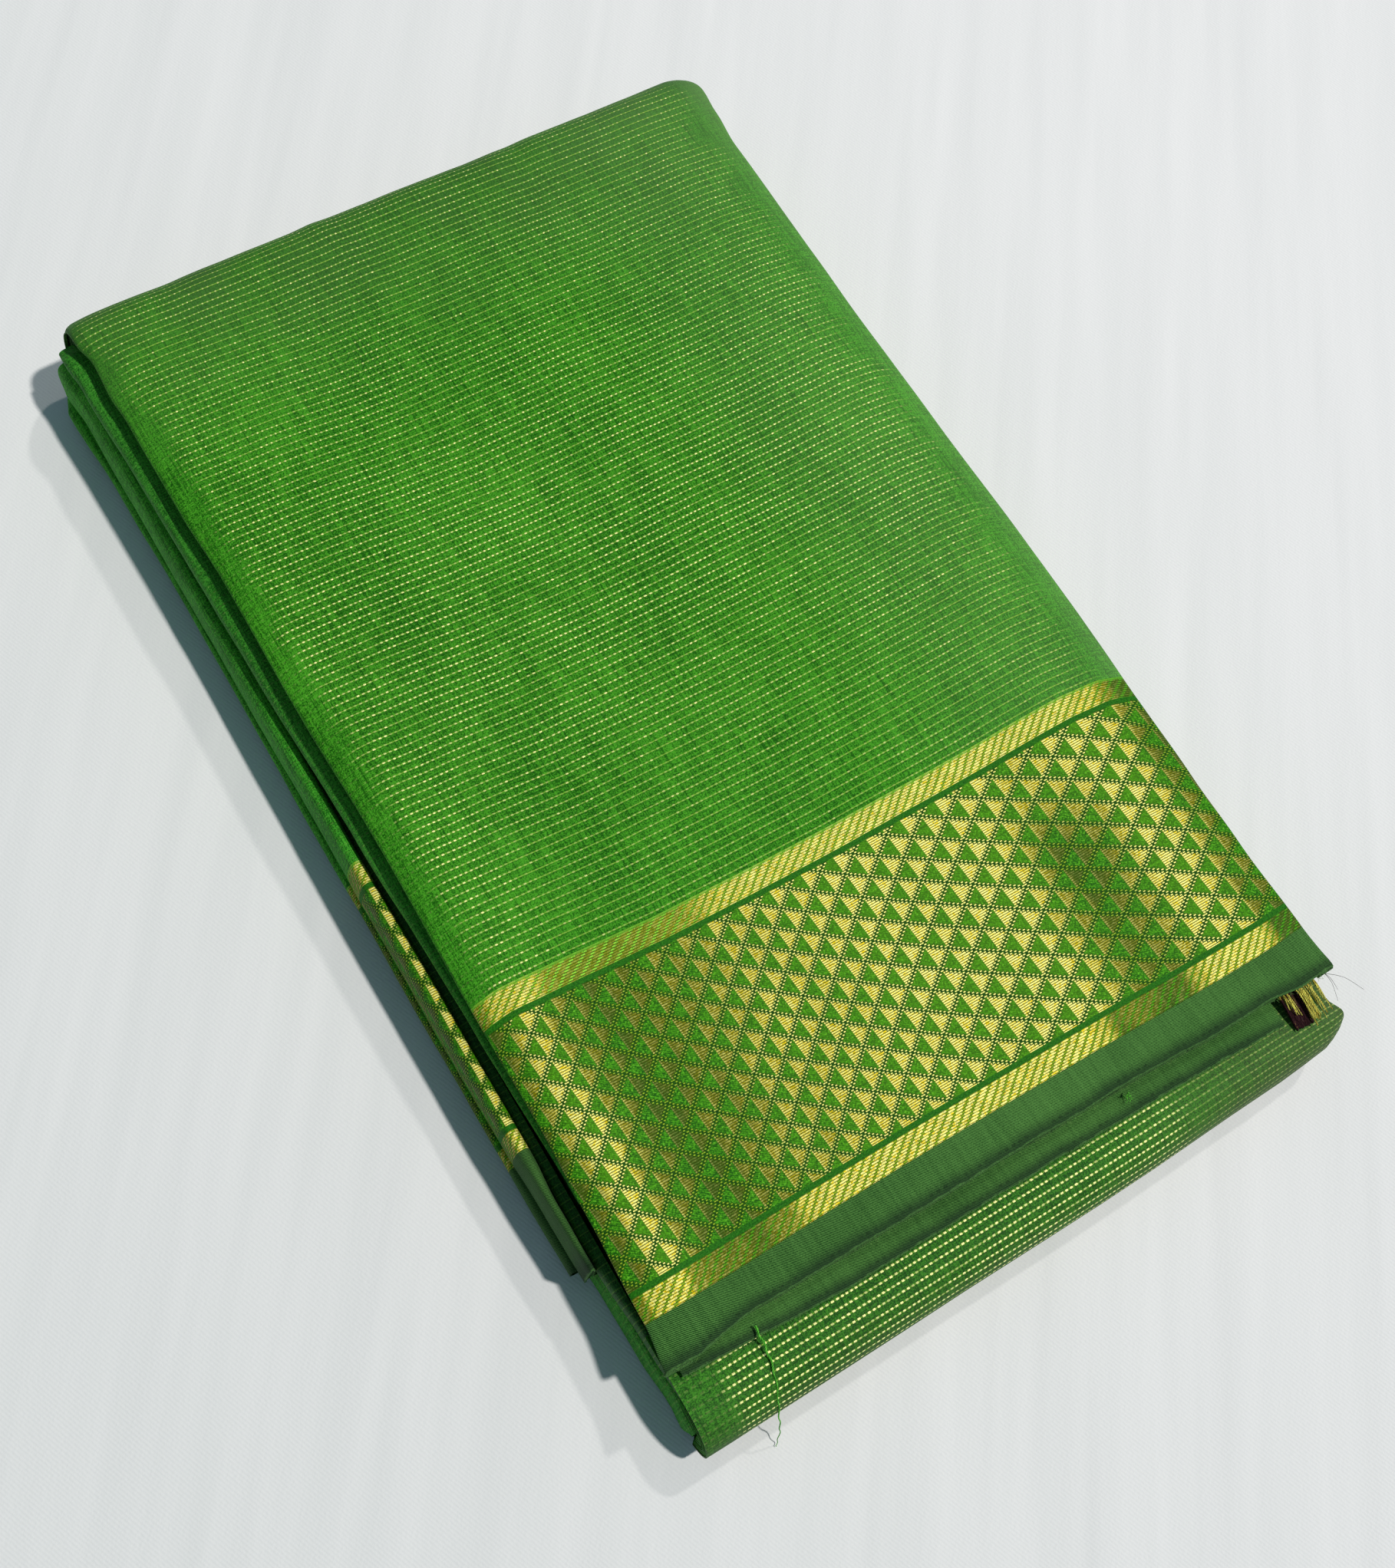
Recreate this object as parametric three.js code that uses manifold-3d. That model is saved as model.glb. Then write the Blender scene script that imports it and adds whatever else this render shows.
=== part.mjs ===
// A green saree with a woven gold border, folded flat for a shelf. Millimetres, +Z up.
//
// The cloth is folded over and over along its length, and the long band that this makes is folded
// twice across its width. X runs along the border, from the side where the folds of the length lie
// open as separate rolls (-X) to the side where they are closed (+X). Y runs across the width, from
// the bottom fold (-Y) to the top fold (+Y). The origin is under the middle of the bundle.
//
// Each stretch of cloth that shows is a thin wall. The layers that nothing shows of are one solid.

import * as THREE from "three";
import Module from "manifold-3d";

const wasm = await Module();
wasm.setup();

// ---- Driving dimensions -------------------------------------------------------------------------

const clothWall = 1.2; // thickness of a stretch, which stands for the cloth and the layers under it
const gap = 0.3; // clearance between neighbouring stretches
const bundleHeight = 34; // floor to the crest of the top flap
const midHeight = bundleHeight / 2; // height of the axis that the top fold turns about
const crownDrop = 1.2; // how much lower the flap's shoulders lie than its crest

const topFoldAxisY = 150; // the top fold starts to turn down here
const topFoldFlatness = 7; // how much shallower than high the top fold is
const underLegEndY = 139.7; // end of the top fold's turned-under stretch
const borderTopY = -51.2; // upper edge of the woven gold border
const borderBottomY = -131.2; // lower edge of the border, where the plain selvedge starts
const selvedgeY = -140.6; // edge of the top flap
const selvedgeHeight = 27; // height of the top flap at its edge
const crestStartY = -10; // the flap is at full height beyond this

const bottomFoldAxisY = -149.5; // centre line of the bottom fold
const bottomFoldLegY = -132; // where both legs of the bottom fold end
const bottomFoldHeight = 19.5;
const bottomFoldLeft = -88.3;
const bottomFoldRight = 94.5;
const bottomFoldReachLeft = 10.4; // how far the fold stands out past its centre line, at the left
const bottomFoldReachRight = 6; // and at the right

const coreLeft = -84; // flanks of the hidden layers
const coreRight = 88;
const terraceLeft = -88.3; // the lower half's hidden layers reach further out
const terraceHeight = 18;

// Edges of the top flap along Y: its reach to the left and right, the height of its rolled edges,
// and where the leg under the right one ends.
const rightLeg = coreRight + gap;
const flapRows = [
  { y: -142, left: -91.2, right: 96.2, roll: 3, rightLeg: 93.8 },
  { y: -131, left: -89.6, right: 95.9, roll: 3.4, rightLeg: 92 },
  { y: -104, left: -88.7, right: 95, roll: 4.6, rightLeg },
  { y: -51, left: -88.6, right: 95.2, roll: 6, rightLeg },
  { y: 30, left: -88.9, right: 96, roll: 6, rightLeg },
  { y: 92, left: -89.4, right: 95.5, roll: 6, rightLeg },
  { y: 130, left: -90.2, right: 95.3, roll: 6, rightLeg },
  { y: 142, left: -89.2, right: 96, roll: 6, rightLeg },
  { y: 150, left: -90.6, right: 96.6, roll: 6, rightLeg },
];

// ---- Rows, curves and profiles ------------------------------------------------------------------

function smooth(from, to, value) {
  const t = THREE.MathUtils.clamp((value - from) / (to - from), 0, 1);
  return t * t * (3 - 2 * t);
}

// The values of a table at a place along Y, with a soft change from row to row.
function rowAt(rows, y) {
  const last = rows.length - 1;
  if (y <= rows[0].y) return rows[0];
  if (y >= rows[last].y) return rows[last];
  const index = rows.findIndex((row) => row.y > y);
  const below = rows[index - 1];
  const above = rows[index];
  const share = smooth(below.y, above.y, y);
  const mixed = {};
  for (const column of Object.keys(below)) {
    mixed[column] = THREE.MathUtils.lerp(below[column], above[column], share);
  }
  return mixed;
}

function spread(from, to, count) {
  return Array.from({ length: count }, (_, i) => THREE.MathUtils.lerp(from, to, i / (count - 1)));
}

// A quarter of an ellipse about (centreX, centreZ), from one angle to another, in degrees.
function arc(centreX, centreZ, reachX, reachZ, fromAngle, toAngle, count) {
  return spread(fromAngle, toAngle, count).map((degrees) => {
    const angle = THREE.MathUtils.degToRad(degrees);
    return [centreX + reachX * Math.cos(angle), centreZ + reachZ * Math.sin(angle)];
  });
}

// The same line moved to its left side by a distance, with mitred corners.
function offsetLine(points, distance) {
  return points.map(([x, z], i) => {
    const [ax, az] = points[Math.max(i - 1, 0)];
    const [bx, bz] = points[Math.min(i + 1, points.length - 1)];
    const before = new THREE.Vector2(x - ax, z - az).normalize();
    const after = new THREE.Vector2(bx - x, bz - z).normalize();
    const along = before.clone().add(after).normalize();
    const stretch = 1 / Math.max(0.6, along.dot(i === 0 ? after : before));
    return [x - along.y * distance * stretch, z + along.x * distance * stretch];
  });
}

// ---- Solids -------------------------------------------------------------------------------------

function solidGeometry(points, faces) {
  let volume = 0;
  for (const [a, b, c] of faces) {
    volume += points[a].dot(points[b].clone().cross(points[c]));
  }
  const facing = volume > 0 ? faces : faces.map(([a, b, c]) => [a, c, b]);
  const geometry = new THREE.BufferGeometry().setFromPoints(points);
  geometry.setIndex(facing.flat());
  geometry.computeVertexNormals();
  return geometry;
}

function quad(a, b, c, d) {
  return [[a, b, c], [a, c, d]];
}

// A closed wall between an outer and an inner grid of points, both [station][place in section].
function wallGeometry(outer, inner) {
  const stations = outer.length;
  const places = outer[0].length;
  const points = [...outer.flat(), ...inner.flat()];
  const out = (j, i) => j * places + i;
  const into = (j, i) => stations * places + j * places + i;
  const faces = [];
  for (let j = 0; j < stations - 1; j += 1) {
    for (let i = 0; i < places - 1; i += 1) {
      faces.push(...quad(out(j, i), out(j, i + 1), out(j + 1, i + 1), out(j + 1, i)));
      faces.push(...quad(into(j, i), into(j + 1, i), into(j + 1, i + 1), into(j, i + 1)));
    }
    const end = places - 1;
    faces.push(...quad(out(j, 0), out(j + 1, 0), into(j + 1, 0), into(j, 0)));
    faces.push(...quad(out(j, end), into(j, end), into(j + 1, end), out(j + 1, end)));
  }
  for (let i = 0; i < places - 1; i += 1) {
    const end = stations - 1;
    faces.push(...quad(out(0, i), into(0, i), into(0, i + 1), out(0, i + 1)));
    faces.push(...quad(out(end, i), out(end, i + 1), into(end, i + 1), into(end, i)));
  }
  return solidGeometry(points, faces);
}

// A closed solid through loops of equally many points, capped at both ends.
// flat(point) gives the two coordinates in which the end loops are cut into triangles.
function loftGeometry(loops, flat) {
  const places = loops[0].length;
  const points = loops.flat();
  const faces = [];
  for (let j = 0; j < loops.length - 1; j += 1) {
    for (let i = 0; i < places; i += 1) {
      const next = (i + 1) % places;
      const below = j * places;
      faces.push(...quad(below + i, below + next, below + places + next, below + places + i));
    }
  }
  const cap = THREE.ShapeUtils.triangulateShape(loops[0].map(flat), []);
  const last = (loops.length - 1) * places;
  for (const [a, b, c] of cap) {
    faces.push([a, c, b], [last + a, last + b, last + c]);
  }
  return solidGeometry(points, faces);
}

function toManifold(geometry) {
  return new wasm.Manifold(new wasm.Mesh({
    numProp: 3,
    vertProperties: geometry.attributes.position.array,
    triVerts: Uint32Array.from(geometry.index.array),
  }));
}

function joined(geometries) {
  const mesh = geometries.map(toManifold).reduce((all, next) => all.add(next)).getMesh();
  const geometry = new THREE.BufferGeometry();
  geometry.setAttribute("position", new THREE.BufferAttribute(mesh.vertProperties, 3));
  geometry.setIndex(new THREE.BufferAttribute(mesh.triVerts, 1));
  geometry.computeVertexNormals();
  return geometry;
}

// ---- The top flap -------------------------------------------------------------------------------

// Height of the flap's outer face. crown is 1 on top and falls to 0 where the cloth lies underneath.
function flapHeight(x, y, crown) {
  const rise = smooth(selvedgeY, crestStartY, y);
  const crest = THREE.MathUtils.lerp(selvedgeHeight, bundleHeight, rise);
  return crest - crown * crownDrop * (x / coreRight) ** 2;
}

const shoulder = { left: 12, right: 15 }; // how far in the flap starts to round off at each side
const shoulderDrop = 0.45; // share of the rolled edge's height that lies in the shoulder

// Section of the flap across X: rolled edge and leg at the left, top, rolled edge and leg at the right.
function flapSection(y, crown = 1) {
  const { left, right, roll, rightLeg: legEnd } = rowAt(flapRows, y);
  const leftInner = left + shoulder.left;
  const rightInner = right - shoulder.right;
  const leftTop = flapHeight(leftInner, y, crown);
  const rightTop = flapHeight(rightInner, y, crown);
  const drop = roll * shoulderDrop;
  const under = roll - drop;
  const top = spread(leftInner, rightInner, 7).slice(1, -1);
  return [
    [coreLeft - gap, leftTop - roll],
    ...arc(left + under, leftTop - drop, under, under, 270, 195, 4),
    ...arc(leftInner, leftTop - drop, shoulder.left, drop, 180, 90, 6),
    ...top.map((x) => [x, flapHeight(x, y, crown)]),
    ...arc(rightInner, rightTop - drop, shoulder.right, drop, 90, 0, 6),
    ...arc(right - under, rightTop - drop, under, under, -15, -90, 4),
    [legEnd, rightTop - roll],
  ];
}

function flapStation(y) {
  const outer = flapSection(y);
  const inner = offsetLine(outer, -clothWall);
  const place = ([x, z]) => new THREE.Vector3(x, y, z);
  return { outer: outer.map(place), inner: inner.map(place) };
}

// The flap's section carried round the top fold, by an angle from 0 on top to 180 underneath.
function topFoldStation(degrees, legY = topFoldAxisY) {
  const angle = THREE.MathUtils.degToRad(degrees);
  const crown = (1 + Math.cos(angle)) / 2;
  const outer = flapSection(topFoldAxisY, crown);
  const inner = offsetLine(outer, -clothWall);
  const place = ([x, z]) => {
    const height = z - midHeight;
    const depth = height - topFoldFlatness;
    return new THREE.Vector3(x, legY + depth * Math.sin(angle), midHeight + height * Math.cos(angle));
  };
  return { outer: outer.map(place), inner: inner.map(place) };
}

function wallFromStations(stations) {
  return wallGeometry(stations.map((s) => s.outer), stations.map((s) => s.inner));
}

function flapBody() {
  const top = spread(borderTopY, topFoldAxisY, 11).map((y) => flapStation(y));
  const fold = spread(0, 180, 11).slice(1).map((degrees) => topFoldStation(degrees));
  return wallFromStations([...top, ...fold, topFoldStation(180, underLegEndY)]);
}

function flapBorder() {
  return wallFromStations(spread(borderBottomY, borderTopY - gap, 7).map(flapStation));
}

// The plain strip below the border. Its edge wanders by about a millimetre along X.
function selvedgeWander(x) {
  return 0.7 * Math.sin(x / 17 + 0.6) + 0.4 * Math.sin(x / 7.3);
}

function flapSelvedge() {
  const stations = spread(0, 1, 4).map((share) => {
    const y = THREE.MathUtils.lerp(borderBottomY - gap, selvedgeY, share);
    const station = flapStation(y);
    const wander = (point) => point.setY(point.y + share * selvedgeWander(point.x));
    station.outer.forEach(wander);
    station.inner.forEach(wander);
    return station;
  });
  return wallFromStations(stations);
}

// ---- The bottom edge ----------------------------------------------------------------------------

const layerCount = 4; // layered edges that show between the top flap and the flap under it
const layerStep = 0.9; // how far each edge stands out past the one above
const layerNotch = 0.6; // depth of the groove between two edges
const secondFlap = { left: -87.4, right: 79.8, edgeLeft: -143.6, edgeRight: -146.9 };
const secondFlapTop = bottomFoldHeight + gap + clothWall;

// The ends of the flap's own hidden layers, one above the other under the plain selvedge.
function flapLayers() {
  const right = secondFlap.right + 3;
  const loops = spread(coreLeft, right, 19).map((x) => {
    const ceiling = flapHeight(x, selvedgeY, 1) - clothWall - gap - 0.4;
    const floor = secondFlapTop + gap;
    const backCeiling = flapHeight(x, bottomFoldLegY, 1) - clothWall - gap - 0.4;
    const thickness = (ceiling - floor) / layerCount;
    const front = [];
    for (let layer = 0; layer < layerCount; layer += 1) {
      const top = ceiling - layer * thickness;
      const edge = selvedgeY + 0.4 - layer * layerStep + selvedgeWander(x + 31 * layer);
      front.push([edge + layerNotch, top], [edge, top - thickness * 0.35]);
      front.push([edge, top - thickness * 0.75]);
    }
    const profile = [[bottomFoldLegY, backCeiling], ...front, [bottomFoldLegY, floor]];
    return profile.map(([y, z]) => new THREE.Vector3(x, y, z));
  });
  return loftGeometry(loops, (point) => new THREE.Vector2(point.y, point.z));
}

// The flap under the top one: only its plain selvedge shows. It stops short of the right end.
function secondFlapSelvedge() {
  const stations = spread(secondFlap.left, secondFlap.right, 15).map((x) => {
    const share = (x - secondFlap.left) / (secondFlap.right - secondFlap.left);
    const edge = THREE.MathUtils.lerp(secondFlap.edgeLeft, secondFlap.edgeRight, share);
    const front = edge + 0.5 * selvedgeWander(x + 12);
    const places = [bottomFoldLegY, (bottomFoldLegY + front) / 2, front];
    const floor = bottomFoldHeight + gap;
    return {
      outer: places.map((y) => new THREE.Vector3(x, y, secondFlapTop)),
      inner: places.map((y) => new THREE.Vector3(x, y, floor)),
    };
  });
  return wallFromStations(stations);
}

// How far the bottom fold stands out past its centre line. It is pressed flatter to the right.
function bottomFoldReach(x) {
  const share = smooth(-40, bottomFoldRight, x);
  return THREE.MathUtils.lerp(bottomFoldReachLeft, bottomFoldReachRight, share);
}

function bottomFold() {
  const centre = bottomFoldHeight / 2;
  const stations = spread(bottomFoldLeft, bottomFoldRight, 15).map((x) => {
    const reach = bottomFoldReach(x);
    const outer = [
      [bottomFoldLegY, bottomFoldHeight],
      ...arc(bottomFoldAxisY, centre, reach, centre, 90, 270, 15),
      [bottomFoldLegY, 0],
    ];
    const inner = [
      [bottomFoldLegY, bottomFoldHeight - clothWall],
      ...arc(bottomFoldAxisY, centre, reach - clothWall, centre - clothWall, 90, 270, 15),
      [bottomFoldLegY, clothWall],
    ];
    const place = ([y, z]) => new THREE.Vector3(x, y, z);
    return { outer: outer.map(place), inner: inner.map(place) };
  });
  return wallFromStations(stations);
}

// The cut end of the cloth, a short ramp in the hollow at the right of the bottom edge.
const cutEnd = { left: 85, right: 91.6, back: -133, front: -148, rise: 2.6 };

function cutEndRamp() {
  const stations = spread(cutEnd.left, cutEnd.right, 5).map((x) => {
    const sag = 0.5 * Math.sin((x - cutEnd.left) * 1.1);
    const line = spread(0, 1, 6).map((share) => {
      const y = THREE.MathUtils.lerp(cutEnd.back, cutEnd.front, share);
      const lift = cutEnd.rise * (1 - smooth(0, 1, share)) + sag * Math.sin(Math.PI * share);
      return new THREE.Vector3(x, y, bottomFoldHeight + gap + clothWall + 0.1 + Math.max(0, lift));
    });
    return {
      outer: line,
      inner: line.map((point) => new THREE.Vector3(point.x, point.y, point.z - clothWall)),
    };
  });
  return wallFromStations(stations);
}

// ---- Rolls at the left, where the folds of the length lie open ----------------------------------

// A strip with a C-shaped section. Rows: place along Y, outermost reach, bottom and top, where the
// legs end, and how high on the strip its outermost line lies, from 0 at the bottom to 1 at the top.
function rollStrip(rows, stationYs, side = -1) {
  const stations = stationYs.map((y) => {
    const { outer: reach, bottom, top, leg, belly } = rowAt(rows, y);
    const middle = THREE.MathUtils.lerp(bottom, top, belly);
    const depth = Math.abs(reach - leg);
    const upper = arc(leg, middle, side * depth, top - middle, 90, 0, 5);
    const lower = arc(leg, middle, side * depth, middle - bottom, 0, -90, 5).slice(1);
    const line = [...upper, ...lower];
    const inner = offsetLine(line, -side * clothWall).map(([x, z], i, all) => {
      const atLeg = i === 0 || i === all.length - 1;
      return [atLeg ? leg : x, z];
    });
    const place = ([x, z]) => new THREE.Vector3(x, y, z);
    return { outer: line.map(place), inner: inner.map(place) };
  });
  return wallFromStations(stations);
}

const flapLeg = coreLeft - gap;
const terraceLeg = terraceLeft - gap;

// The flap's lower roll: it hugs the flap more closely towards the border.
const secondRollRows = [
  { y: -100, outer: -88.2, bottom: 19.9, top: 22.5, leg: flapLeg, belly: 0.5 },
  { y: -50, outer: -89.6, bottom: 21.6, top: 24.8, leg: flapLeg, belly: 0.5 },
  { y: 0, outer: -91, bottom: 21, top: 25, leg: flapLeg, belly: 0.45 },
  { y: 50, outer: -92.2, bottom: 20.1, top: 25, leg: flapLeg, belly: 0.4 },
  { y: 100, outer: -92.9, bottom: 20.1, top: 25, leg: flapLeg, belly: 0.4 },
  { y: 142, outer: -93.8, bottom: 20.1, top: 25, leg: flapLeg, belly: 0.4 },
  { y: 149.5, outer: -94.6, bottom: 20.1, top: 25, leg: flapLeg, belly: 0.4 },
  { y: 151, outer: -94.8, bottom: 20.3, top: 24.8, leg: -91.4, belly: 0.4 },
  { y: 154, outer: -94.2, bottom: 20.9, top: 23.6, leg: -91.4, belly: 0.4 },
];

// The third roll hangs over the lower half. It carries a stretch of border and ends in selvedge.
const thirdRollRows = [
  { y: -114, outer: -93.8, bottom: 8.6, top: 19.5, leg: flapLeg, belly: 0.3 },
  { y: -82, outer: -95.2, bottom: 8.4, top: 19.5, leg: flapLeg, belly: 0.3 },
  { y: -40, outer: -95.5, bottom: 8.2, top: 19.5, leg: flapLeg, belly: 0.3 },
  { y: 60, outer: -95.4, bottom: 8.2, top: 19.5, leg: flapLeg, belly: 0.3 },
  { y: 140, outer: -95.4, bottom: 8.2, top: 19.5, leg: flapLeg, belly: 0.3 },
  { y: 149.5, outer: -96.2, bottom: 8.2, top: 19.5, leg: flapLeg, belly: 0.3 },
  { y: 151, outer: -96.2, bottom: 9, top: 19, leg: -91.4, belly: 0.4 },
  { y: 154.4, outer: -95.6, bottom: 11, top: 17.4, leg: -91.4, belly: 0.4 },
];
const thirdBorderTopY = 4;
const thirdBorderBottomY = -82;
const thirdSelvedgeY = -114;
const thirdRollFreeHem = -92.8; // the free hem under the third roll, clear of the lowest roll
const thirdRollShoulder = -89; // its top leg starts to round off here

const lowerThirdRows = [
  { y: -110.5, outer: -95.8, bottom: 3, top: 8, leg: -92.9, belly: 0.5 },
  { y: -90, outer: -96.3, bottom: 3, top: 7.9, leg: -92.9, belly: 0.5 },
  { y: 0, outer: -96.5, bottom: 3, top: 7.8, leg: -92.9, belly: 0.5 },
  { y: 120, outer: -96.1, bottom: 3, top: 7.8, leg: -92.9, belly: 0.5 },
  { y: 148, outer: -96.6, bottom: 3, top: 7.8, leg: -92.9, belly: 0.5 },
  { y: 152, outer: -95.8, bottom: 3.4, top: 7.2, leg: -92.9, belly: 0.5 },
];

const innerRollRows = [
  { y: -146.5, outer: -90, bottom: 12.3, top: 17.4, leg: terraceLeg, belly: 0.5 },
  { y: -112, outer: -91, bottom: 12.3, top: 17.6, leg: terraceLeg, belly: 0.5 },
  { y: 139, outer: -91, bottom: 12.3, top: 17.6, leg: terraceLeg, belly: 0.5 },
];

const lowestRollRows = [
  { y: -154.5, outer: -90.4, bottom: 3.4, top: 8.6, leg: terraceLeg, belly: 0.45 },
  { y: -151.5, outer: -91.2, bottom: 0.6, top: 11, leg: terraceLeg, belly: 0.4 },
  { y: -146, outer: -91.1, bottom: 0, top: 12, leg: terraceLeg, belly: 0.4 },
  { y: -120, outer: -91.7, bottom: 0, top: 12, leg: terraceLeg, belly: 0.4 },
  { y: -100, outer: -92.3, bottom: 0, top: 12, leg: terraceLeg, belly: 0.4 },
  { y: 139, outer: -92.3, bottom: 0, top: 12, leg: terraceLeg, belly: 0.4 },
];

// The third roll's section keeps clear of the lower half: a top leg, a drop and a free hem.
function thirdRoll(stationYs) {
  const stations = stationYs.map((y) => {
    const { outer: reach, bottom, top, leg, belly } = rowAt(thirdRollRows, y);
    const middle = THREE.MathUtils.lerp(bottom, top, belly);
    const turn = Math.min(thirdRollShoulder, leg - 0.8);
    const upper = arc(turn, middle, reach - turn, top - middle, 90, 0, 7);
    const hem = arc(thirdRollFreeHem - clothWall, middle, reach - thirdRollFreeHem + clothWall,
      middle - bottom, 0, -80, 4).slice(1);
    const line = [[leg, top], ...upper, ...hem];
    const place = ([x, z]) => new THREE.Vector3(x, y, z);
    return {
      outer: line.map(place),
      inner: offsetLine(line, clothWall).map(place),
    };
  });
  return wallFromStations(stations);
}

// ---- Rolls at the right, where the folds of the length are closed -------------------------------

const underRoll = 6; // height of the underside's rolled right edge, below the three rolls
const rightRolls = [
  { name: "right_roll_upper", reach: 95.6, level: 2, pressed: 1 },
  { name: "right_roll_middle", reach: 96.3, level: 1, pressed: 0 },
  { name: "right_roll_lower", reach: 95.9, level: 0, pressed: 0 },
];
const borderPress = { atSelvedge: 3.7, atBorder: 1.4 }; // how far the flap presses the upper roll down
const rightRollHeight = 6.4;

function rightRoll({ reach, level, pressed }) {
  const bottom = underRoll + gap + level * (rightRollHeight + gap);
  const top = bottom + rightRollHeight;
  const endTop = top - pressed * borderPress.atSelvedge;
  const borderTop = top - pressed * borderPress.atBorder;
  const leg = rightLeg;
  const rows = [
    { y: -131.6, outer: reach - 0.8, bottom, top: endTop, leg, belly: 0.5 },
    { y: -104, outer: reach - 0.8, bottom, top: endTop, leg, belly: 0.5 },
    { y: -51, outer: reach - 0.3, bottom, top: borderTop, leg, belly: 0.5 },
    { y: -15, outer: reach, bottom, top, leg, belly: 0.5 },
    { y: 40, outer: reach + 0.3, bottom, top, leg, belly: 0.5 },
    { y: 110, outer: reach - 0.4, bottom, top, leg, belly: 0.5 },
    { y: 149.6, outer: reach, bottom, top, leg, belly: 0.5 },
  ];
  return rollStrip(rows, spread(-131.6, 149.6, 11), 1);
}

// ---- The underside and the hidden layers --------------------------------------------------------

// The outermost cloth underneath, flat on the floor, rolled up at the right.
function underPanel() {
  const right = 95.3;
  const drop = underRoll * shoulderDrop;
  const over = underRoll - drop;
  const outer = [
    ...spread(terraceLeft, right - shoulder.right - 20, 4).map((x) => [x, 0]),
    ...arc(right - shoulder.right, drop, shoulder.right, drop, -90, 0, 6),
    ...arc(right - over, drop, over, over, 15, 90, 4),
    [rightLeg, underRoll],
  ];
  const inner = offsetLine(outer, clothWall);
  const stations = spread(bottomFoldLegY + gap, underLegEndY - gap, 6).map((y) => {
    const place = ([x, z]) => new THREE.Vector3(x, y, z);
    return { outer: outer.map(place), inner: inner.map(place) };
  });
  return wallFromStations(stations);
}

const coreFloor = clothWall + gap;

// How far the flap has rounded off at a place near one of its shoulders.
function shoulderFall(x, y) {
  const { left, right, roll } = rowAt(flapRows, y);
  const intoLeft = (left + shoulder.left - x) / shoulder.left;
  const intoRight = (x - right + shoulder.right) / shoulder.right;
  const inside = THREE.MathUtils.clamp(Math.max(intoLeft, intoRight), 0, 1);
  return roll * shoulderDrop * (1 - Math.sqrt(1 - inside * inside));
}

// The main block of hidden layers, rounded where it fills the top fold.
function coreBlock() {
  const room = clothWall + gap + 0.1;
  const xs = spread(coreLeft, coreRight, 9);
  const backwards = xs.slice().reverse();
  const straight = spread(bottomFoldLegY + 0.6, topFoldAxisY, 9).map((y) => [
    ...xs.map((x) => new THREE.Vector3(x, y, room + shoulderFall(x, topFoldAxisY))),
    ...backwards.map((x) => new THREE.Vector3(x, y, flapHeight(x, y, 1) - shoulderFall(x, y) - room)),
  ]);
  const onFold = (x, degrees) => {
    const angle = THREE.MathUtils.degToRad(degrees);
    const crown = (1 + Math.cos(angle)) / 2;
    const surface = flapHeight(x, topFoldAxisY, crown) - shoulderFall(x, topFoldAxisY);
    const height = surface - room - midHeight;
    const depth = height - topFoldFlatness;
    const y = topFoldAxisY + depth * Math.sin(angle);
    return new THREE.Vector3(x, y, midHeight + height * Math.cos(angle));
  };
  const fold = spread(15, 75, 5).map((degrees) => [
    ...xs.map((x) => onFold(x, 180 - degrees)),
    ...backwards.map((x) => onFold(x, degrees)),
  ]);
  return loftGeometry([...straight, ...fold], (point) => new THREE.Vector2(point.x, point.z));
}

// The lower half's layers reach further out at the left, behind the inner and lowest rolls.
function coreTerrace() {
  const ys = [bottomFoldLegY + 0.6, 139.1];
  const loops = ys.map((y) => [
    new THREE.Vector3(terraceLeft, y, coreFloor),
    new THREE.Vector3(coreLeft + 2, y, coreFloor),
    new THREE.Vector3(coreLeft + 2, y, terraceHeight),
    new THREE.Vector3(terraceLeft, y, terraceHeight),
  ]);
  return loftGeometry(loops, (point) => new THREE.Vector2(point.x, point.z));
}

// The layers inside the bottom fold, whose ends show one above the other at both sides.
function coreTongue() {
  const layers = 8;
  const notch = 0.5;
  const centre = bottomFoldHeight / 2;
  const halfHeight = centre - clothWall - gap;
  const xs = spread(bottomFoldLeft + 0.2, bottomFoldRight - 0.3, 7);
  const loops = spread(-1, 1, 2 * layers + 1).map((level, index) => {
    const inset = index % 2 === 0 ? notch : 0;
    const z = centre + level * halfHeight;
    const roundness = Math.sqrt(Math.max(0, 1 - (level * 0.995) ** 2));
    const front = xs.map((x, i) => {
      const atEnd = i === 0 || i === xs.length - 1;
      const endX = i === 0 ? x + inset : x - inset;
      const reach = (bottomFoldReach(x) - clothWall - gap - 0.15) * roundness;
      return new THREE.Vector3(atEnd ? endX : x, bottomFoldAxisY - reach, z);
    });
    const back = bottomFoldLegY;
    return [
      ...front,
      new THREE.Vector3(xs[xs.length - 1] - inset, back, z),
      new THREE.Vector3(xs[0] + inset, back, z),
    ];
  });
  return loftGeometry(loops, (point) => new THREE.Vector2(point.x, point.y));
}

// What joins the main block to the layers in the bottom fold, between the fold's two legs.
function coreBridge() {
  const loops = [bottomFoldLegY - 6, bottomFoldLegY + 6].map((y) => [
    new THREE.Vector3(coreLeft + 1, y, coreFloor + 0.5),
    new THREE.Vector3(coreRight - 1, y, coreFloor + 0.5),
    new THREE.Vector3(coreRight - 1, y, terraceHeight - 0.5),
    new THREE.Vector3(coreLeft + 1, y, terraceHeight - 0.5),
  ]);
  return loftGeometry(loops, (point) => new THREE.Vector2(point.x, point.z));
}

function hiddenLayers() {
  return joined([coreBlock(), coreTerrace(), coreBridge(), coreTongue()]);
}

// ---- The saree ----------------------------------------------------------------------------------

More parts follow.
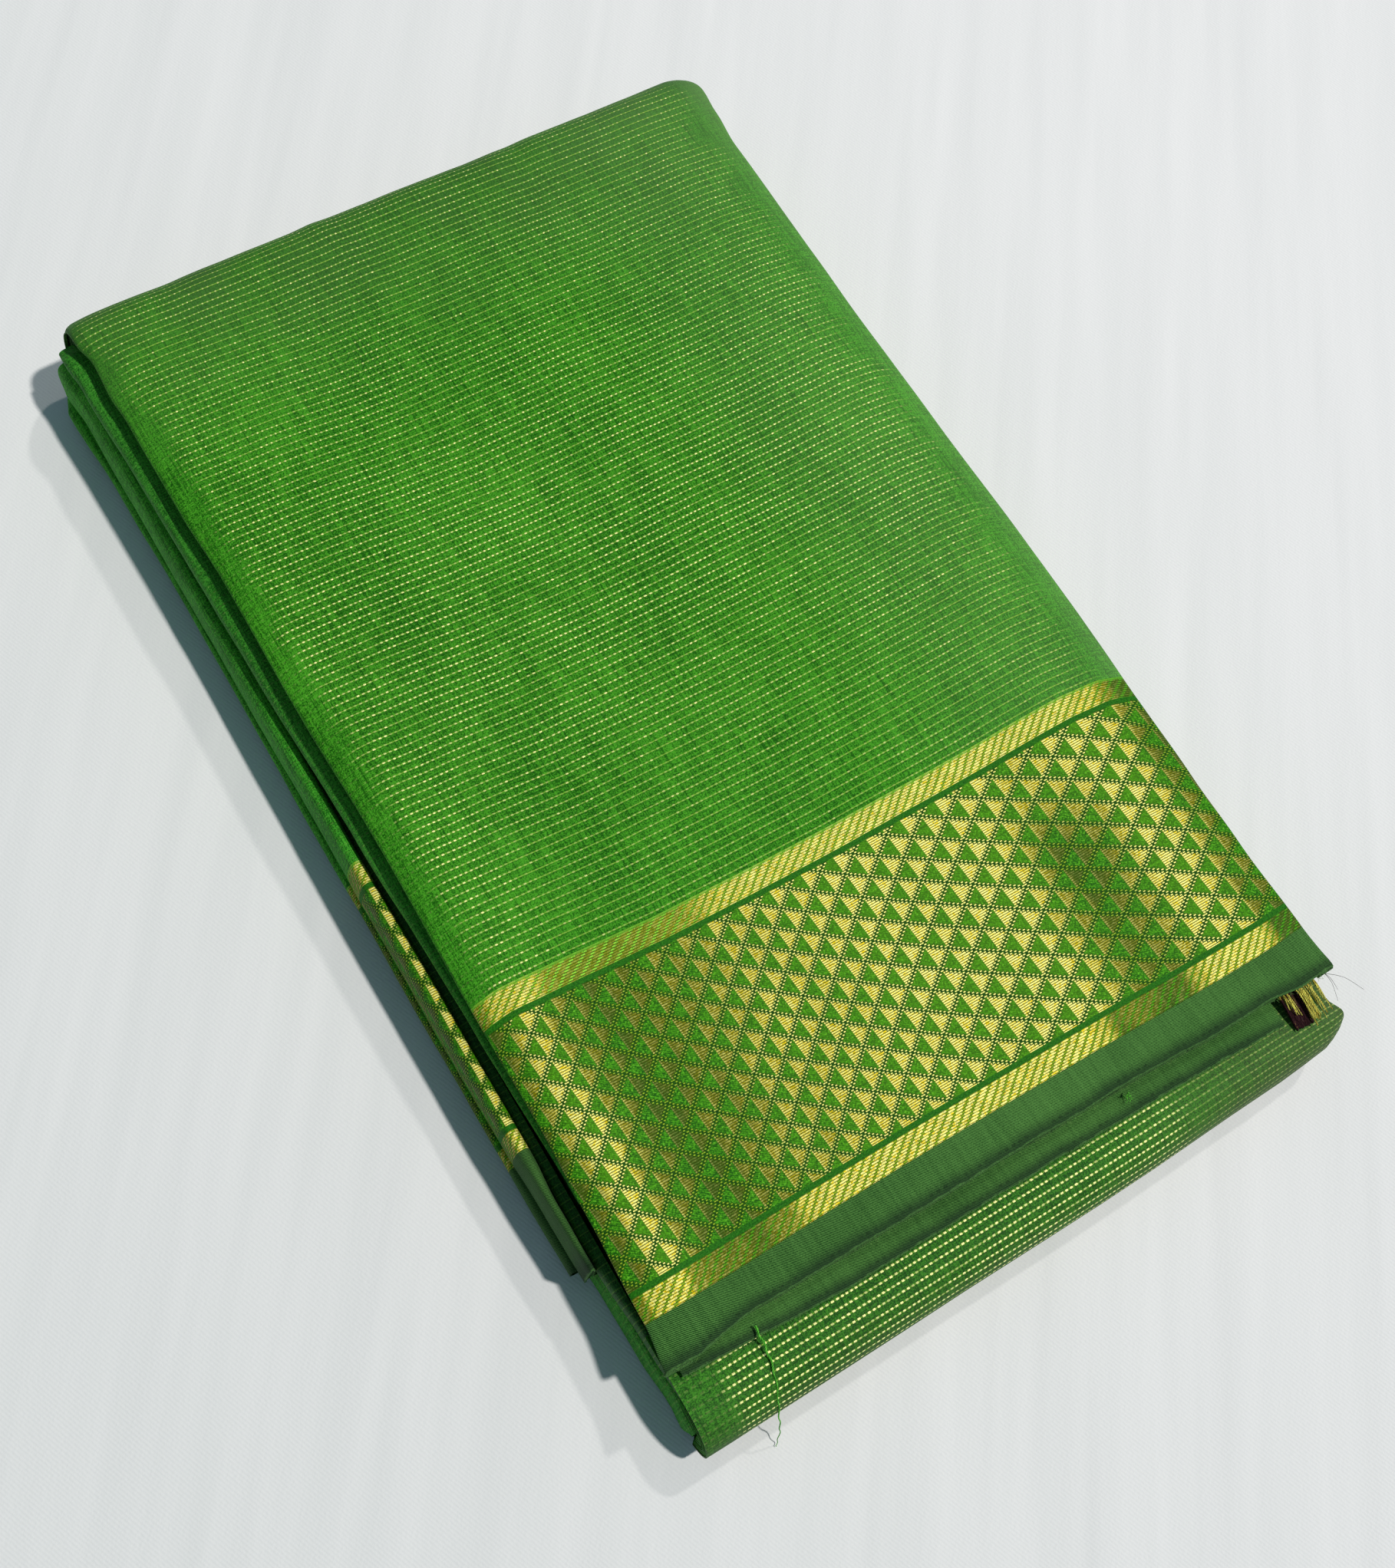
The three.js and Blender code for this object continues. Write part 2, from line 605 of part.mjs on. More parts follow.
const green = new THREE.MeshStandardMaterial({ color: 0x2f8f1d, roughness: 0.72, metalness: 0 });
const selvedgeGreen = new THREE.MeshStandardMaterial({ color: 0x245a2c, roughness: 0.7, metalness: 0 });
const gold = new THREE.MeshStandardMaterial({ color: 0xb9a436, roughness: 0.42, metalness: 0.6 });

const saree = new THREE.Group();

function add(name, geometry, material) {
  const mesh = new THREE.Mesh(geometry, material);
  mesh.name = name;
  saree.add(mesh);
}

add("hidden_layers", hiddenLayers(), green);
add("flap_body", flapBody(), green);
add("flap_border", flapBorder(), gold);
add("flap_selvedge", flapSelvedge(), selvedgeGreen);
add("flap_layers", flapLayers(), selvedgeGreen);
add("second_flap_selvedge", secondFlapSelvedge(), selvedgeGreen);
add("bottom_fold", bottomFold(), green);
add("cut_end", cutEndRamp(), gold);
add("second_roll", rollStrip(secondRollRows, [...spread(-100, 149.5, 9), 151, 154]), green);
add("third_roll_body", thirdRoll([...spread(thirdBorderTopY + gap, 149.5, 7), 151, 154.4]), green);
add("third_roll_border", thirdRoll(spread(thirdBorderBottomY, thirdBorderTopY, 6)), gold);
add("third_roll_selvedge", thirdRoll(spread(thirdSelvedgeY, thirdBorderBottomY - gap, 4)), selvedgeGreen);
add("third_roll_lower", rollStrip(lowerThirdRows, [...spread(-110.5, 148, 9), 152]), green);
add("inner_roll", rollStrip(innerRollRows, spread(-146.5, 139, 8)), green);
add("lowest_roll", rollStrip(lowestRollRows, [-154.5, -151.5, ...spread(-146, 139, 9)]), green);
rightRolls.forEach((roll) => add(roll.name, rightRoll(roll), green));
add("under_panel", underPanel(), green);

export default saree;
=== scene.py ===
"""Looks for the folded green saree with a woven gold border.

Sizes are in millimetres in this file's own functions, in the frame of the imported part, and become
metres where a mesh is made. Every visible stretch of cloth is a thin shell on its solid's form. A
shell carries a UV map named cloth: u runs along the border and v across the width of the saree, in
metres of cloth, so that the weave, the zari lines and the border's lattice follow every fold.
"""

import math
import random

import bpy
import numpy as np
from mathutils import Matrix, Vector, noise


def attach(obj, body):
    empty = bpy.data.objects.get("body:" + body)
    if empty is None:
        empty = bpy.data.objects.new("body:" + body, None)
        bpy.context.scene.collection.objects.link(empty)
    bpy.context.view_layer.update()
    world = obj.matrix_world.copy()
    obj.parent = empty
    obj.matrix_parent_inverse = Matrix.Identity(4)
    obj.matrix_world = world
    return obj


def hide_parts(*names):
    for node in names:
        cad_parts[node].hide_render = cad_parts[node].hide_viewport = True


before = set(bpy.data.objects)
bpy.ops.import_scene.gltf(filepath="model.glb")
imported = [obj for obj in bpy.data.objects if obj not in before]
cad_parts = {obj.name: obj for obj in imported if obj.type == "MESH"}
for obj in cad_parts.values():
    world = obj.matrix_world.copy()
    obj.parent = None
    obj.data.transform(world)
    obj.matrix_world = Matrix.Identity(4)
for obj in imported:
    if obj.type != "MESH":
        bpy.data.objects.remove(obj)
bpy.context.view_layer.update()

MM = 0.001
CLOTH_MAP = "cloth"
SHARP_ANGLE = 50  # degrees between two faces, from which their edge isn't smoothed


def table(columns, *rows, **same):
    """Rows of values, each with the names of its columns. A short row takes its last values from same."""
    return [{**same, **dict(zip(columns.split(), row))} for row in rows]


# ---- Driving dimensions, in millimetres ----

BUNDLE_HEIGHT = 34.0
MID_HEIGHT = BUNDLE_HEIGHT / 2
CROWN_DROP = 1.2
TOP_FOLD_AXIS = 150.0
TOP_FOLD_FLATNESS = 7.0
UNDER_LEG_END = 139.7
BORDER_TOP = -51.2
BORDER_BOTTOM = -131.2
SELVEDGE_EDGE = -140.6
SELVEDGE_HEIGHT = 27.0
CREST_START = -10.0
CORE_LEFT = -84.0
CORE_RIGHT = 88.0
TERRACE_LEFT = -88.3
BOTTOM_FOLD_AXIS = -149.5
BOTTOM_FOLD_LEG = -132.0
BOTTOM_FOLD_HEIGHT = 19.5
BOTTOM_FOLD_LEFT = -88.3
BOTTOM_FOLD_RIGHT = 94.5
SHOULDER_LEFT = 12.0
SHOULDER_RIGHT = 15.0
SHOULDER_DROP = 0.45
GAP = 0.3
CLOTH = 0.4  # thickness of a shell: the cloth itself and its fuzz
SEAM_GAP = 0.05  # between the shells of two stretches of the same cloth

ZARI_PITCH = 2.05  # from one zari line to the next
DOT_PITCH = 1.35  # from one zari dot to the next along a line

# Edges of the top flap: its reach at the left and right, the height of its rolled edges, and where
# its right leg ends.
FLAP_ROWS = table(
    "y left right roll leg",
    (-142, -91.2, 97.6, 3, 93.8),
    (-131, -89.6, 96.9, 3.4, 92),
    (-104, -88.7, 96.1, 4.6, 88.3),
    (-84, -88.1, 95.6, 5.3, 88.3),
    (-51, -88.6, 94.9, 6, 88.3),
    (-5, -88.2, 94.4, 6, 88.3),
    (30, -88.9, 93.8, 6, 88.3),
    (72, -88.5, 93.4, 6, 88.3),
    (92, -89.3, 93.6, 6, 88.3),
    (124, -89.4, 93.9, 6, 88.3),
    (131, -89.9, 93.8, 6, 88.3),
    (142.5, -89.4, 94.9, 6, 88.3),
    (150, -90.8, 95.7, 6, 88.3),
)

# How much lower a weft line lies at each place along X than near the left edge.
SAG_ROWS = [
    (-92, 1.0), (-82, 0.0), (-62, 0.9), (-42, 2.4), (-20, 3.0), (5, 3.1),
    (35, 2.6), (60, 1.7), (76, 1.4), (87, 2.0), (96, 4.2),
]

# How strongly the sag shows at a place across the width, and a shift of all of the line.
SAG_SHARE_ROWS = [
    (-141, -0.33), (-131.2, -0.33), (-51.2, 1.0), (60, 1.0), (110, 0.8), (150, 0.0),
]
SAG_SHIFT_ROWS = [(-141, 0.6), (-131.2, 0.9), (-51.2, 0.0), (150, 0.0)]

# The front edge of the top flap, and of the flap under it.
TOP_EDGE_ROWS = [
    (-92, -141.7), (-83, -141.9), (-76, -140.9), (-68, -139.9), (-24, -140.0), (42, -140.0),
    (63, -141.1), (78, -140.6), (88, -141.7), (96, -141.2),
]
SECOND_EDGE_ROWS = [(-88, -143.6), (-72, -144.5), (-51, -145.8), (20, -145.7), (53, -146.0), (80, -146.9)]

# How far the top fold swells past its plain form, and how far the bottom fold reaches forward.
TOP_SWELL_ROWS = [(-92, 0.0), (-76, 0.3), (24, 0.4), (40, 1.4), (64, 1.5), (80, 2.2), (88, 2.8), (98, 3.6)]
BOTTOM_REACH_ROWS = [
    (-84, 10.7), (-60, 10.4), (-36, 10.05), (-20, 9.75), (4, 9.55), (20, 9.35), (36, 8.95),
    (60, 7.95), (76, 7.45), (84, 6.9), (90, 6.3), (93, 4.6), (95, 3.0),
]

# Soft creases of the top flap, from one end to the other. Height is negative for a trough.
CREASES = table(
    "x0 y0 x1 y1 width height",
    (-80, -138, -78, 20, 5, 0.50),
    (-64, -131, -58, -30, 9, -0.60),
    (-12, -136, -24, -20, 13, 0.55),
    (28, -128, 22, -45, 8, 0.30),
    (58, -130, 48, -50, 8.5, -0.75),
    (77, -134, 70, -40, 6, 0.50),
    (-70, 132, -36, 10, 12, 0.45),
    (-48, 146, -14, 60, 9, -0.40),
    (6, 150, 22, 30, 11, 0.40),
    (44, 120, 58, -10, 10, -0.45),
    (72, 150, 80, 40, 8, 0.35),
    (-56, 24, 60, 6, 12, -0.25),
    (-30, -28, 52, -36, 7, 0.25),
    (-22, 160, -16, 128, 3.5, 0.35),
    (38, 160, 34, 134, 4, -0.35),
    (-62, 162, -66, 138, 4.5, -0.30),
)


# ---- Small mathematics ----

def smooth(low, high, value):
    """0 at low and 1 at high, with a soft change between them. low may be above high."""
    t = min(max((value - low) / (high - low), 0.0), 1.0)
    return t * t * (3 - 2 * t)


def lerp(a, b, share):
    """a where share is 0, b where it is 1."""
    return a + (b - a) * share


def spread(start, end, count):
    """Evenly spaced values from start to end."""
    return [lerp(start, end, i / (count - 1)) for i in range(count)]


def at(rows, place):
    """The second column of a table, looked up by the first."""
    xs, ys = zip(*rows)
    return float(np.interp(place, xs, ys))


def row_at(rows, y):
    """The values of a table of named columns at a place along y, with a soft change between rows."""
    if y <= rows[0]["y"]:
        return rows[0]
    if y >= rows[-1]["y"]:
        return rows[-1]
    index = next(i for i, row in enumerate(rows) if row["y"] > y)
    below, above = rows[index - 1], rows[index]
    share = smooth(below["y"], above["y"], y)
    return {column: lerp(below[column], above[column], share) for column in below}


def arc(centre, reach, start, end, count, fullness=1.0):
    """Points of an ellipse about centre, from one angle to another in degrees.

    With a fullness below 1 it bulges towards its corners, as stuffed folds do.
    """
    points = []
    for angle in (math.radians(a) for a in spread(start, end, count)):
        x = math.copysign(abs(math.cos(angle)) ** fullness, math.cos(angle))
        z = math.copysign(abs(math.sin(angle)) ** fullness, math.sin(angle))
        points.append((centre[0] + reach[0] * x, centre[1] + reach[1] * z))
    return points


def rough(x, y, size, seed):
    """Smooth noise from about -1 to 1 that changes over the given size."""
    return noise.noise(Vector((x / size, y / size, seed)))


def relief(x, y):
    """Height of the top flap's creases and slight unevenness over its solid's form."""
    total = 0.22 * rough(x * 1.3, y * 0.6, 24, 3.1) + 0.07 * rough(x * 1.6, y, 9, 7.7)
    for crease in CREASES:
        along = Vector((crease["x1"] - crease["x0"], crease["y1"] - crease["y0"]))
        offset = Vector((x - crease["x0"], y - crease["y0"]))
        share = offset.dot(along) / along.length_squared
        distance = (offset - along * min(max(share, 0), 1)).length
        total += crease["height"] * math.exp(-((distance / crease["width"]) ** 2))
    return total


# ---- Meshes ----

def mesh_object(name, points, faces, uvs, material):
    """A mesh from points in millimetres, with a cloth map in metres and soft shading."""
    mesh = bpy.data.meshes.new(name)
    mesh.from_pydata([tuple(p * MM for p in point) for point in points], [], faces)
    corners = np.zeros(len(mesh.loops), np.int32)
    mesh.loops.foreach_get("vertex_index", corners)
    layer = mesh.uv_layers.new(name=CLOTH_MAP)
    layer.data.foreach_set("uv", (np.asarray(uvs, float)[corners] * MM).ravel())
    mesh.polygons.foreach_set("use_smooth", [True] * len(mesh.polygons))
    mesh.set_sharp_from_angle(angle=math.radians(SHARP_ANGLE))
    mesh.materials.append(material)
    mesh.update()
    piece = bpy.data.objects.new(name, mesh)
    bpy.context.scene.collection.objects.link(piece)
    return piece


def outward_normals(grid, inside):
    """Unit normals of a grid of points, turned away from a point inside the form."""
    across = np.gradient(grid, axis=1)
    along = np.gradient(grid, axis=0)
    normals = np.cross(across, along)
    lengths = np.linalg.norm(normals, axis=2, keepdims=True)
    normals = normals / np.maximum(lengths, 1e-9)
    if ((grid - inside) * normals).sum() < 0:
        normals = -normals
    return normals


def shell_parts(grid, uvs, thickness, inside):
    """Points, faces and cloth places of a closed wall under a grid of outer points."""
    grid = np.asarray(grid, float)
    normals = outward_normals(grid, np.asarray(inside, float))
    inner = grid - normals * thickness
    stations, places = grid.shape[:2]
    points = np.concatenate([grid.reshape(-1, 3), inner.reshape(-1, 3)])
    places_uv = np.asarray(uvs, float).reshape(-1, 2)
    half = stations * places
    faces = []
    for j in range(stations - 1):
        for i in range(places - 1):
            a = j * places + i
            b = a + places
            faces.append((a, a + 1, b + 1, b))
            faces.append((half + a, half + b, half + b + 1, half + a + 1))
    rim = [j * places for j in range(stations)]
    far = [j * places + places - 1 for j in range(stations)]
    low = list(range(places))
    high = [(stations - 1) * places + i for i in range(places)]
    for edge, turned in ((rim, False), (far, True), (low, True), (high, False)):
        for a, b in zip(edge, edge[1:]):
            face = (a, b, half + b, half + a)
            faces.append(face[::-1] if turned else face)
    a, b = grid[0, 0], grid[0, 1]
    facing = np.dot(np.cross(b - a, grid[1, 1] - a), normals[0, 0])
    if facing < 0:
        faces = [face[::-1] for face in faces]
    return points, faces, np.concatenate([places_uv, places_uv])


def joined_object(name, parts, material):
    """One mesh from several (points, faces, uvs)."""
    points, faces, uvs = [], [], []
    start = 0
    for part_points, part_faces, part_uvs in parts:
        points.append(part_points)
        uvs.append(part_uvs)
        faces += [tuple(start + k for k in face) for face in part_faces]
        start += len(part_points)
    return mesh_object(name, np.concatenate(points), faces, np.concatenate(uvs), material)


def cloth_area(piece):
    """Half the surface of a closed shell, in square metres."""
    return sum(face.area for face in piece.data.polygons) / 2


def cloth_piece(name, parts, material, nodes, width):
    """A sheet from its shells. width is its flat size across the saree, in millimetres."""
    piece = joined_object(name, parts, material)
    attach(piece, "root")
    if nodes:
        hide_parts(*nodes)
    flat_width = width * MM
    flat_length = cloth_area(piece) / flat_width


def arc_lengths(line):
    """Distance along a line of points, from its first point."""
    line = np.asarray(line, float)
    steps = np.linalg.norm(np.diff(line, axis=0), axis=1)
    return np.concatenate([[0.0], np.cumsum(steps)])


# ---- Materials ----

def srgb(red, green, blue):
    """A colour from 0 to 255, as a linear colour."""
    def linear(value):
        value /= 255
        return value / 12.92 if value <= 0.04045 else ((value + 0.055) / 1.055) ** 2.4
    return (linear(red), linear(green), linear(blue), 1.0)


class Field:
    """A value that varies over the cloth: one output socket in a material's nodes."""

    def __init__(self, tree, socket):
        self.tree = tree
        self.socket = socket

    def node(self, kind):
        """A new node of the same material."""
        return self.tree.nodes.new(kind)

    def field(self, node, output=0):
        return Field(self.tree, node.outputs[output])

    def math(self, operation, *others):
        node = self.node("ShaderNodeMath")
        node.operation = operation
        for place, value in zip(node.inputs, (self, *others)):
            put(place, value)
        return self.field(node)

    def __add__(self, other):
        return self.math("ADD", other)

    def __sub__(self, other):
        return self.math("SUBTRACT", other)

    def __mul__(self, other):
        return self.math("MULTIPLY", other)

    def __truediv__(self, other):
        return self.math("DIVIDE", other)

    def inverse(self):
        """One minus the value."""
        return self.math("MULTIPLY_ADD", -1.0, 1.0)

    def part(self):
        """What is left past the whole number."""
        return self.math("FRACT")

    def whole(self):
        return self.math("FLOOR")

    def size(self):
        return self.math("ABSOLUTE")

    def least(self, other):
        return self.math("MINIMUM", other)

    def most(self, other):
        return self.math("MAXIMUM", other)

    def ramp(self, low, high):
        """0 at low and 1 at high, with a soft change between them. low may be above high."""
        node = self.node("ShaderNodeMapRange")
        node.interpolation_type = "SMOOTHSTEP"
        put(node.inputs["Value"], self)
        put(node.inputs["From Min"], low)
        put(node.inputs["From Max"], high)
        return self.field(node)

    def profile(self, rows):
        """The second column of a table, looked up by the first, with soft changes between rows."""
        low, high = rows[0][0], rows[-1][0]
        node = self.node("ShaderNodeValToRGB")
        node.color_ramp.interpolation = "EASE"
        stops = node.color_ramp.elements
        for index, (place, value) in enumerate(rows):
            position = (place - low) / (high - low)
            stop = stops[index] if index < 2 else stops.new(position)
            stop.position = position
            stop.color = (value, value, value, 1.0)
        put(node.inputs[0], (self - low) / (high - low))
        return self.field(node)


def put(socket, value):
    """Links a field to a socket, or sets the socket to a plain value."""
    if isinstance(value, Field):
        value.tree.links.new(value.socket, socket)
    else:
        socket.default_value = value


def mix(share, first, second):
    """first where share is 0, second where it is 1."""
    node = share.node("ShaderNodeMix")
    node.data_type = "RGBA"
    put(node.inputs[0], share)
    put(node.inputs[6], first)
    put(node.inputs[7], second)
    return share.field(node, 2)


def combined(x, y, z):
    node = x.node("ShaderNodeCombineXYZ")
    for socket, value in zip(node.inputs, (x, y, z)):
        put(socket, value)
    return x.field(node)


def blotches(x, y, seed, detail=2.0):
    """Noise from 0 to 1 over places x and y, one blotch for each whole number."""
    node = x.node("ShaderNodeTexNoise")
    put(node.inputs["Vector"], combined(x, y, seed))
    put(node.inputs["Scale"], 1.0)
    put(node.inputs["Detail"], detail)
    return x.field(node).ramp(0.22, 0.78)


def chance(x, y):
    """A random number from 0 to 1 for each pair of whole numbers."""
    node = x.node("ShaderNodeTexWhiteNoise")
    node.noise_dimensions = "2D"
    put(node.inputs["Vector"], combined(x, y, 0.0))
    return x.field(node)


def new_material(name):
    """A material and its cloth's u and v in millimetres."""
    material = bpy.data.materials.new(name)
    material.use_nodes = True
    tree = material.node_tree
    places = tree.nodes.new("ShaderNodeUVMap")
    places.uv_map = CLOTH_MAP
    apart = tree.nodes.new("ShaderNodeSeparateXYZ")
    tree.links.new(places.outputs[0], apart.inputs[0])
    return material, *(Field(tree, apart.outputs[k]) * (1 / MM) for k in (0, 1))


def finished(material, colour, roughness, height, distance, strength=1.0, metallic=0.0, specular=0.06,
             sheen=0.0):
    """The material with its shader set. Its surface is raised by height times distance, in millimetres."""
    shader = material.node_tree.nodes["Principled BSDF"].inputs
    for name, value in (
        ("Base Color", colour), ("Roughness", roughness), ("Metallic", metallic),
        ("Specular IOR Level", specular), ("Sheen Weight", sheen), ("Sheen Roughness", 0.30),
        ("Sheen Tint", (0.62, 1.0, 0.60, 1.0)),
    ):
        put(shader[name], value)
    node = height.node("ShaderNodeBump")
    put(node.inputs["Strength"], strength)
    put(node.inputs["Distance"], distance * MM)
    put(node.inputs["Height"], height)
    put(shader["Normal"], height.field(node))
    return material


def ridge(value, pitch):
    """A wave over value, 0 between threads and 1 on them."""
    return ((value / pitch).part() - 0.5).size().ramp(0.5, 0.0)


def ground(u, v, dark, light, seed):
    """Plain handwoven silk, with uneven threads and soft large patches, as (colour, fine grain)."""
    grain = blotches(u / 0.34, v / 0.34, seed + 1.3, 1.0)
    along = blotches(u / 5.0, v / 0.40, seed + 5.1, 1.0)
    across = blotches(u / 0.50, v / 16.0, seed + 9.7)
    patches = blotches(u / 40.0, v / 60.0, seed + 2.2)
    tone = grain * 0.44 + along * 0.20 + across * 0.22 + patches * 0.14
    slubs = blotches(u / 0.42, v / 11.0, seed + 12.9, 1.0).ramp(0.26, 0.04)
    colour = mix(tone.ramp(0.20, 0.80), dark, light)
    return mix(slubs * 0.7, colour, dark), grain


# Strength of the painted highlight on the zari dots, by place along the width. It is weak near the border.
DOT_HIGHLIGHT_ROWS = [
    (-180, 1.25), (-125, 1.15), (-56, 0.20), (-30, 0.28), (0, 0.52), (30, 0.66), (60, 0.66),
    (100, 0.55), (140, 0.42), (180, 0.38),
]


def zari_rows(u, v, seed):
    """Zari lines across the cloth: (thin line, the painted shade under it, bright dots with painted
    glints), each from 0 to 1.
    """
    row = v / ZARI_PITCH
    number = row.whole()
    below = (row.part() - 0.5) * ZARI_PITCH
    off_line = below.size()
    drift = blotches(u / 30.0, v / 14.0, seed + 3.0) * 1.6
    jitter = chance(number, seed + 3.0) * 0.30
    step = u / DOT_PITCH + drift + jitter
    off_dot = (step.part() - 0.5).size() * DOT_PITCH
    luck = chance(step.whole(), number + seed)
    # patch, streak, luck, glint and the sheen beside the border at the left paint highlights on the dots,
    # patchy as the folds catch the light.
    patch = blotches(u / 22.0 + v / 60.0, v / 12.0, seed + 4.4, 3.0)
    streak = blotches(u / 7.0, v / 2.2, seed + 6.1, 1.0)
    highlight_strength = v.profile(DOT_HIGHLIGHT_ROWS)
    left_sheen = u.ramp(-62.0, -72.0) * v.ramp(20.0, -20.0) * 0.45
    glint = luck.ramp(0.88, 1.0) * 0.5
    bright = (patch * 0.45 + streak * 0.35 + luck * 0.45).ramp(0.20, 1.10) * 0.75 + 0.12 + glint
    bright = (bright * (highlight_strength + left_sheen) * 1.80).least(1.0)
    line = off_line.ramp(0.20, 0.06)
    # Painted shade just under each line.
    shade = (below + 0.30).size().ramp(0.18, 0.06)
    swell = v.ramp(-120.0, -135.0) * 0.045
    length = v.ramp(30.0, 110.0) * -0.10 + swell + 0.32
    dots = (off_line - swell).ramp(0.26, 0.14) * (off_dot - length).ramp(0.06, -0.07) * bright
    return line, shade, dots


ZARI_LIGHT = srgb(255, 255, 168)
ZARI_DIM = srgb(146, 196, 66)


def body_material(name, edge_low=None, edge_high=None, zari=1.0, glints=1.0, shade=1.0, dull=None,
                  dull_colour=srgb(60, 96, 46), faint=0.06, specular=0.06, cool=0.0, seed=0.0,
                  right_painted_light=srgb(136, 182, 112), right_painted_light_share=0.13):
    """Green ground with zari lines. They fade out past the edges, where the cloth turns away.

    zari is the strength of the lines and dots, glints a further share for the dots alone, and faint
    is what is left of them past edge_high. cool turns the green bluer, and dull is the stretch of v
    over which the cloth turns to dull_colour, with the strength of that. shade scales the ground's
    green: below 1 it is painted shade, above 1 painted light. Towards its right the cloth turns to
    the given right colour, by default a paler green: a painted sheen where the cloth turns down at
    its right edge.
    """
    material, u, v = new_material(name)
    dark = srgb(20 * shade, 84 * shade, (7 + 10 * cool) * shade)
    light = srgb((74 - 6 * cool) * shade, (162 - 6 * cool) * shade, (36 + 14 * cool) * shade)
    colour, grain = ground(u, v, dark, light, seed)
    if dull:
        start, end, strength = dull
        dulled = v.ramp(start, end) * (blotches(u / 18.0, v / 18.0, seed + 3.3) * 0.5 + 0.6)
        colour = mix(dulled * strength, colour, dull_colour)
    # Painted light at the right: a paler sheen by default, painted shade where a darker colour is given.
    painted_light_towards_right = u.ramp(20.0, 84.0) * right_painted_light_share + u.ramp(86.0, 97.0) * 0.20
    colour = mix(painted_light_towards_right, colour, right_painted_light)
    line, under, dots = zari_rows(u, v, seed)
    wander = blotches(v / 11.0, 0.0, seed + 8.0) * 5.0
    early = v.ramp(105.0, 160.0) * 6.0
    fade = fade_dots = None
    if edge_low is not None:
        fade = fade_dots = (u - wander + early).ramp(edge_low - 5.0, edge_low) * 0.95 + 0.05
    if edge_high is not None:
        right = (u + wander * 2.0).ramp(edge_high + 10.0, edge_high)
        fade = fade * (right * (1 - faint) + faint)
        fade_dots = fade_dots * (right * (1 - faint * 0.4) + faint * 0.4)
    if fade is not None:
        line = line * fade
        under = under * fade
        dots = dots * fade_dots
    # Painted shade under each zari line, darkening the ground just below it.
    colour = mix(under * (0.30 * zari), colour, dark)
    colour = mix(line * (0.58 * zari), colour, ZARI_DIM)
    dots = dots * (zari * glints)
    colour = mix(dots, colour, ZARI_LIGHT)
    height = grain * 0.6 + line * 0.5 + dots * 0.8
    return finished(material, colour, dots * -0.22 + 0.64, height, 0.12, 0.75, dots * 0.08, specular, 0.08)


# How brightly the border's gold catches the light, by place along X.
SHINE_ROWS = [
    (-96, 0.0), (-88, 0.05), (-84, 0.30), (-81, 0.90), (-77, 0.75), (-73, 0.30), (-68, 0.13),
    (-60, 0.13), (-52, 0.18), (-44, 0.29), (-36, 0.42), (-28, 0.62), (-12, 0.74), (4, 0.87),
    (24, 0.95), (37, 1.0), (43, 0.60), (49, 0.20), (54, 0.09), (62, 0.20), (68, 0.50), (73, 0.92),
    (80, 1.0), (85, 0.70), (89, 0.25), (98, 0.0),
]
# Lifts the painted sheen of the gold in its dark zone.
DARK_ZONE_LIFT = [(38, 0.0), (46, 0.38), (58, 0.55), (66, 0.30), (74, 0.0)]  # in the border's upper part
# How brightly the upper and lower ropes' gold catches the light, by place along X: a painted sheen.
UPPER_ROPE_ROWS = [
    (-96, 0.1), (-87, 0.3), (-84, 0.9), (-76, 0.9), (-70, 0.30), (-50, 0.22), (-36, 0.40),
    (-25, 0.85), (0, 1.0), (70, 1.0), (82, 0.9), (87, 0.4), (91, 0.0), (98, 0.0),
]
LOWER_ROPE_ROWS = [
    (-96, 0.0), (-88, 0.2), (-85.5, 0.95), (-79, 0.9), (-75, 0.25), (-60, 0.12), (-50, 0.30),
    (-44, 0.8), (-30, 0.95), (30, 0.95), (37, 0.7), (42, 0.15), (60, 0.05), (66, 0.5), (70, 1.0),
    (84, 1.0), (88, 0.5), (91, 0.05), (98, 0.0),
]

# Where the upper rope's green strokes are lime green.
LIME_ROWS = [(-96, 0.0), (-80, 0.15), (-66, 1.0), (-42, 0.9), (-28, 0.2), (96, 0.1)]

MOTIF_HEIGHT = 7.05  # from one diamond to the next across the width
NARROW_MOTIF = 8.05  # width of a diamond at the left
WIDE_MOTIF = 10.9  # and at the right, where the weft was beaten in less tightly
WIDEN_FROM = -34.0
WIDEN_TO = 42.0
LEAN = 0.1  # how far the columns of diamonds drift along X, for each millimetre across
MOTIF_X = -78.7  # a diamond's centre
MOTIF_Y = -74.4
THREAD_ROW = MOTIF_HEIGHT / 12  # from one gold thread to the next
STROKE_PITCH = 2.9  # from one stroke of a rope to the next
ROPE_HEIGHT = 6.0
LATTICE_TOP = BORDER_TOP - ROPE_HEIGHT - 1.5
LATTICE_BOTTOM = BORDER_BOTTOM + ROPE_HEIGHT + 1.5


def motif_column(x):
    """Counts diamonds along X, with a pitch that grows from left to right."""
    slower = 1 / WIDE_MOTIF - 1 / NARROW_MOTIF
    length = WIDEN_TO - WIDEN_FROM
    share = ((x - WIDEN_FROM) / length).most(0.0).least(1.0)
    gained = share * share * (slower * length / 2)
    beyond = (x - WIDEN_TO).most(0.0) * slower
    return (x - MOTIF_X) / NARROW_MOTIF + gained + beyond


GOLD_GLINT = srgb(255, 252, 146)


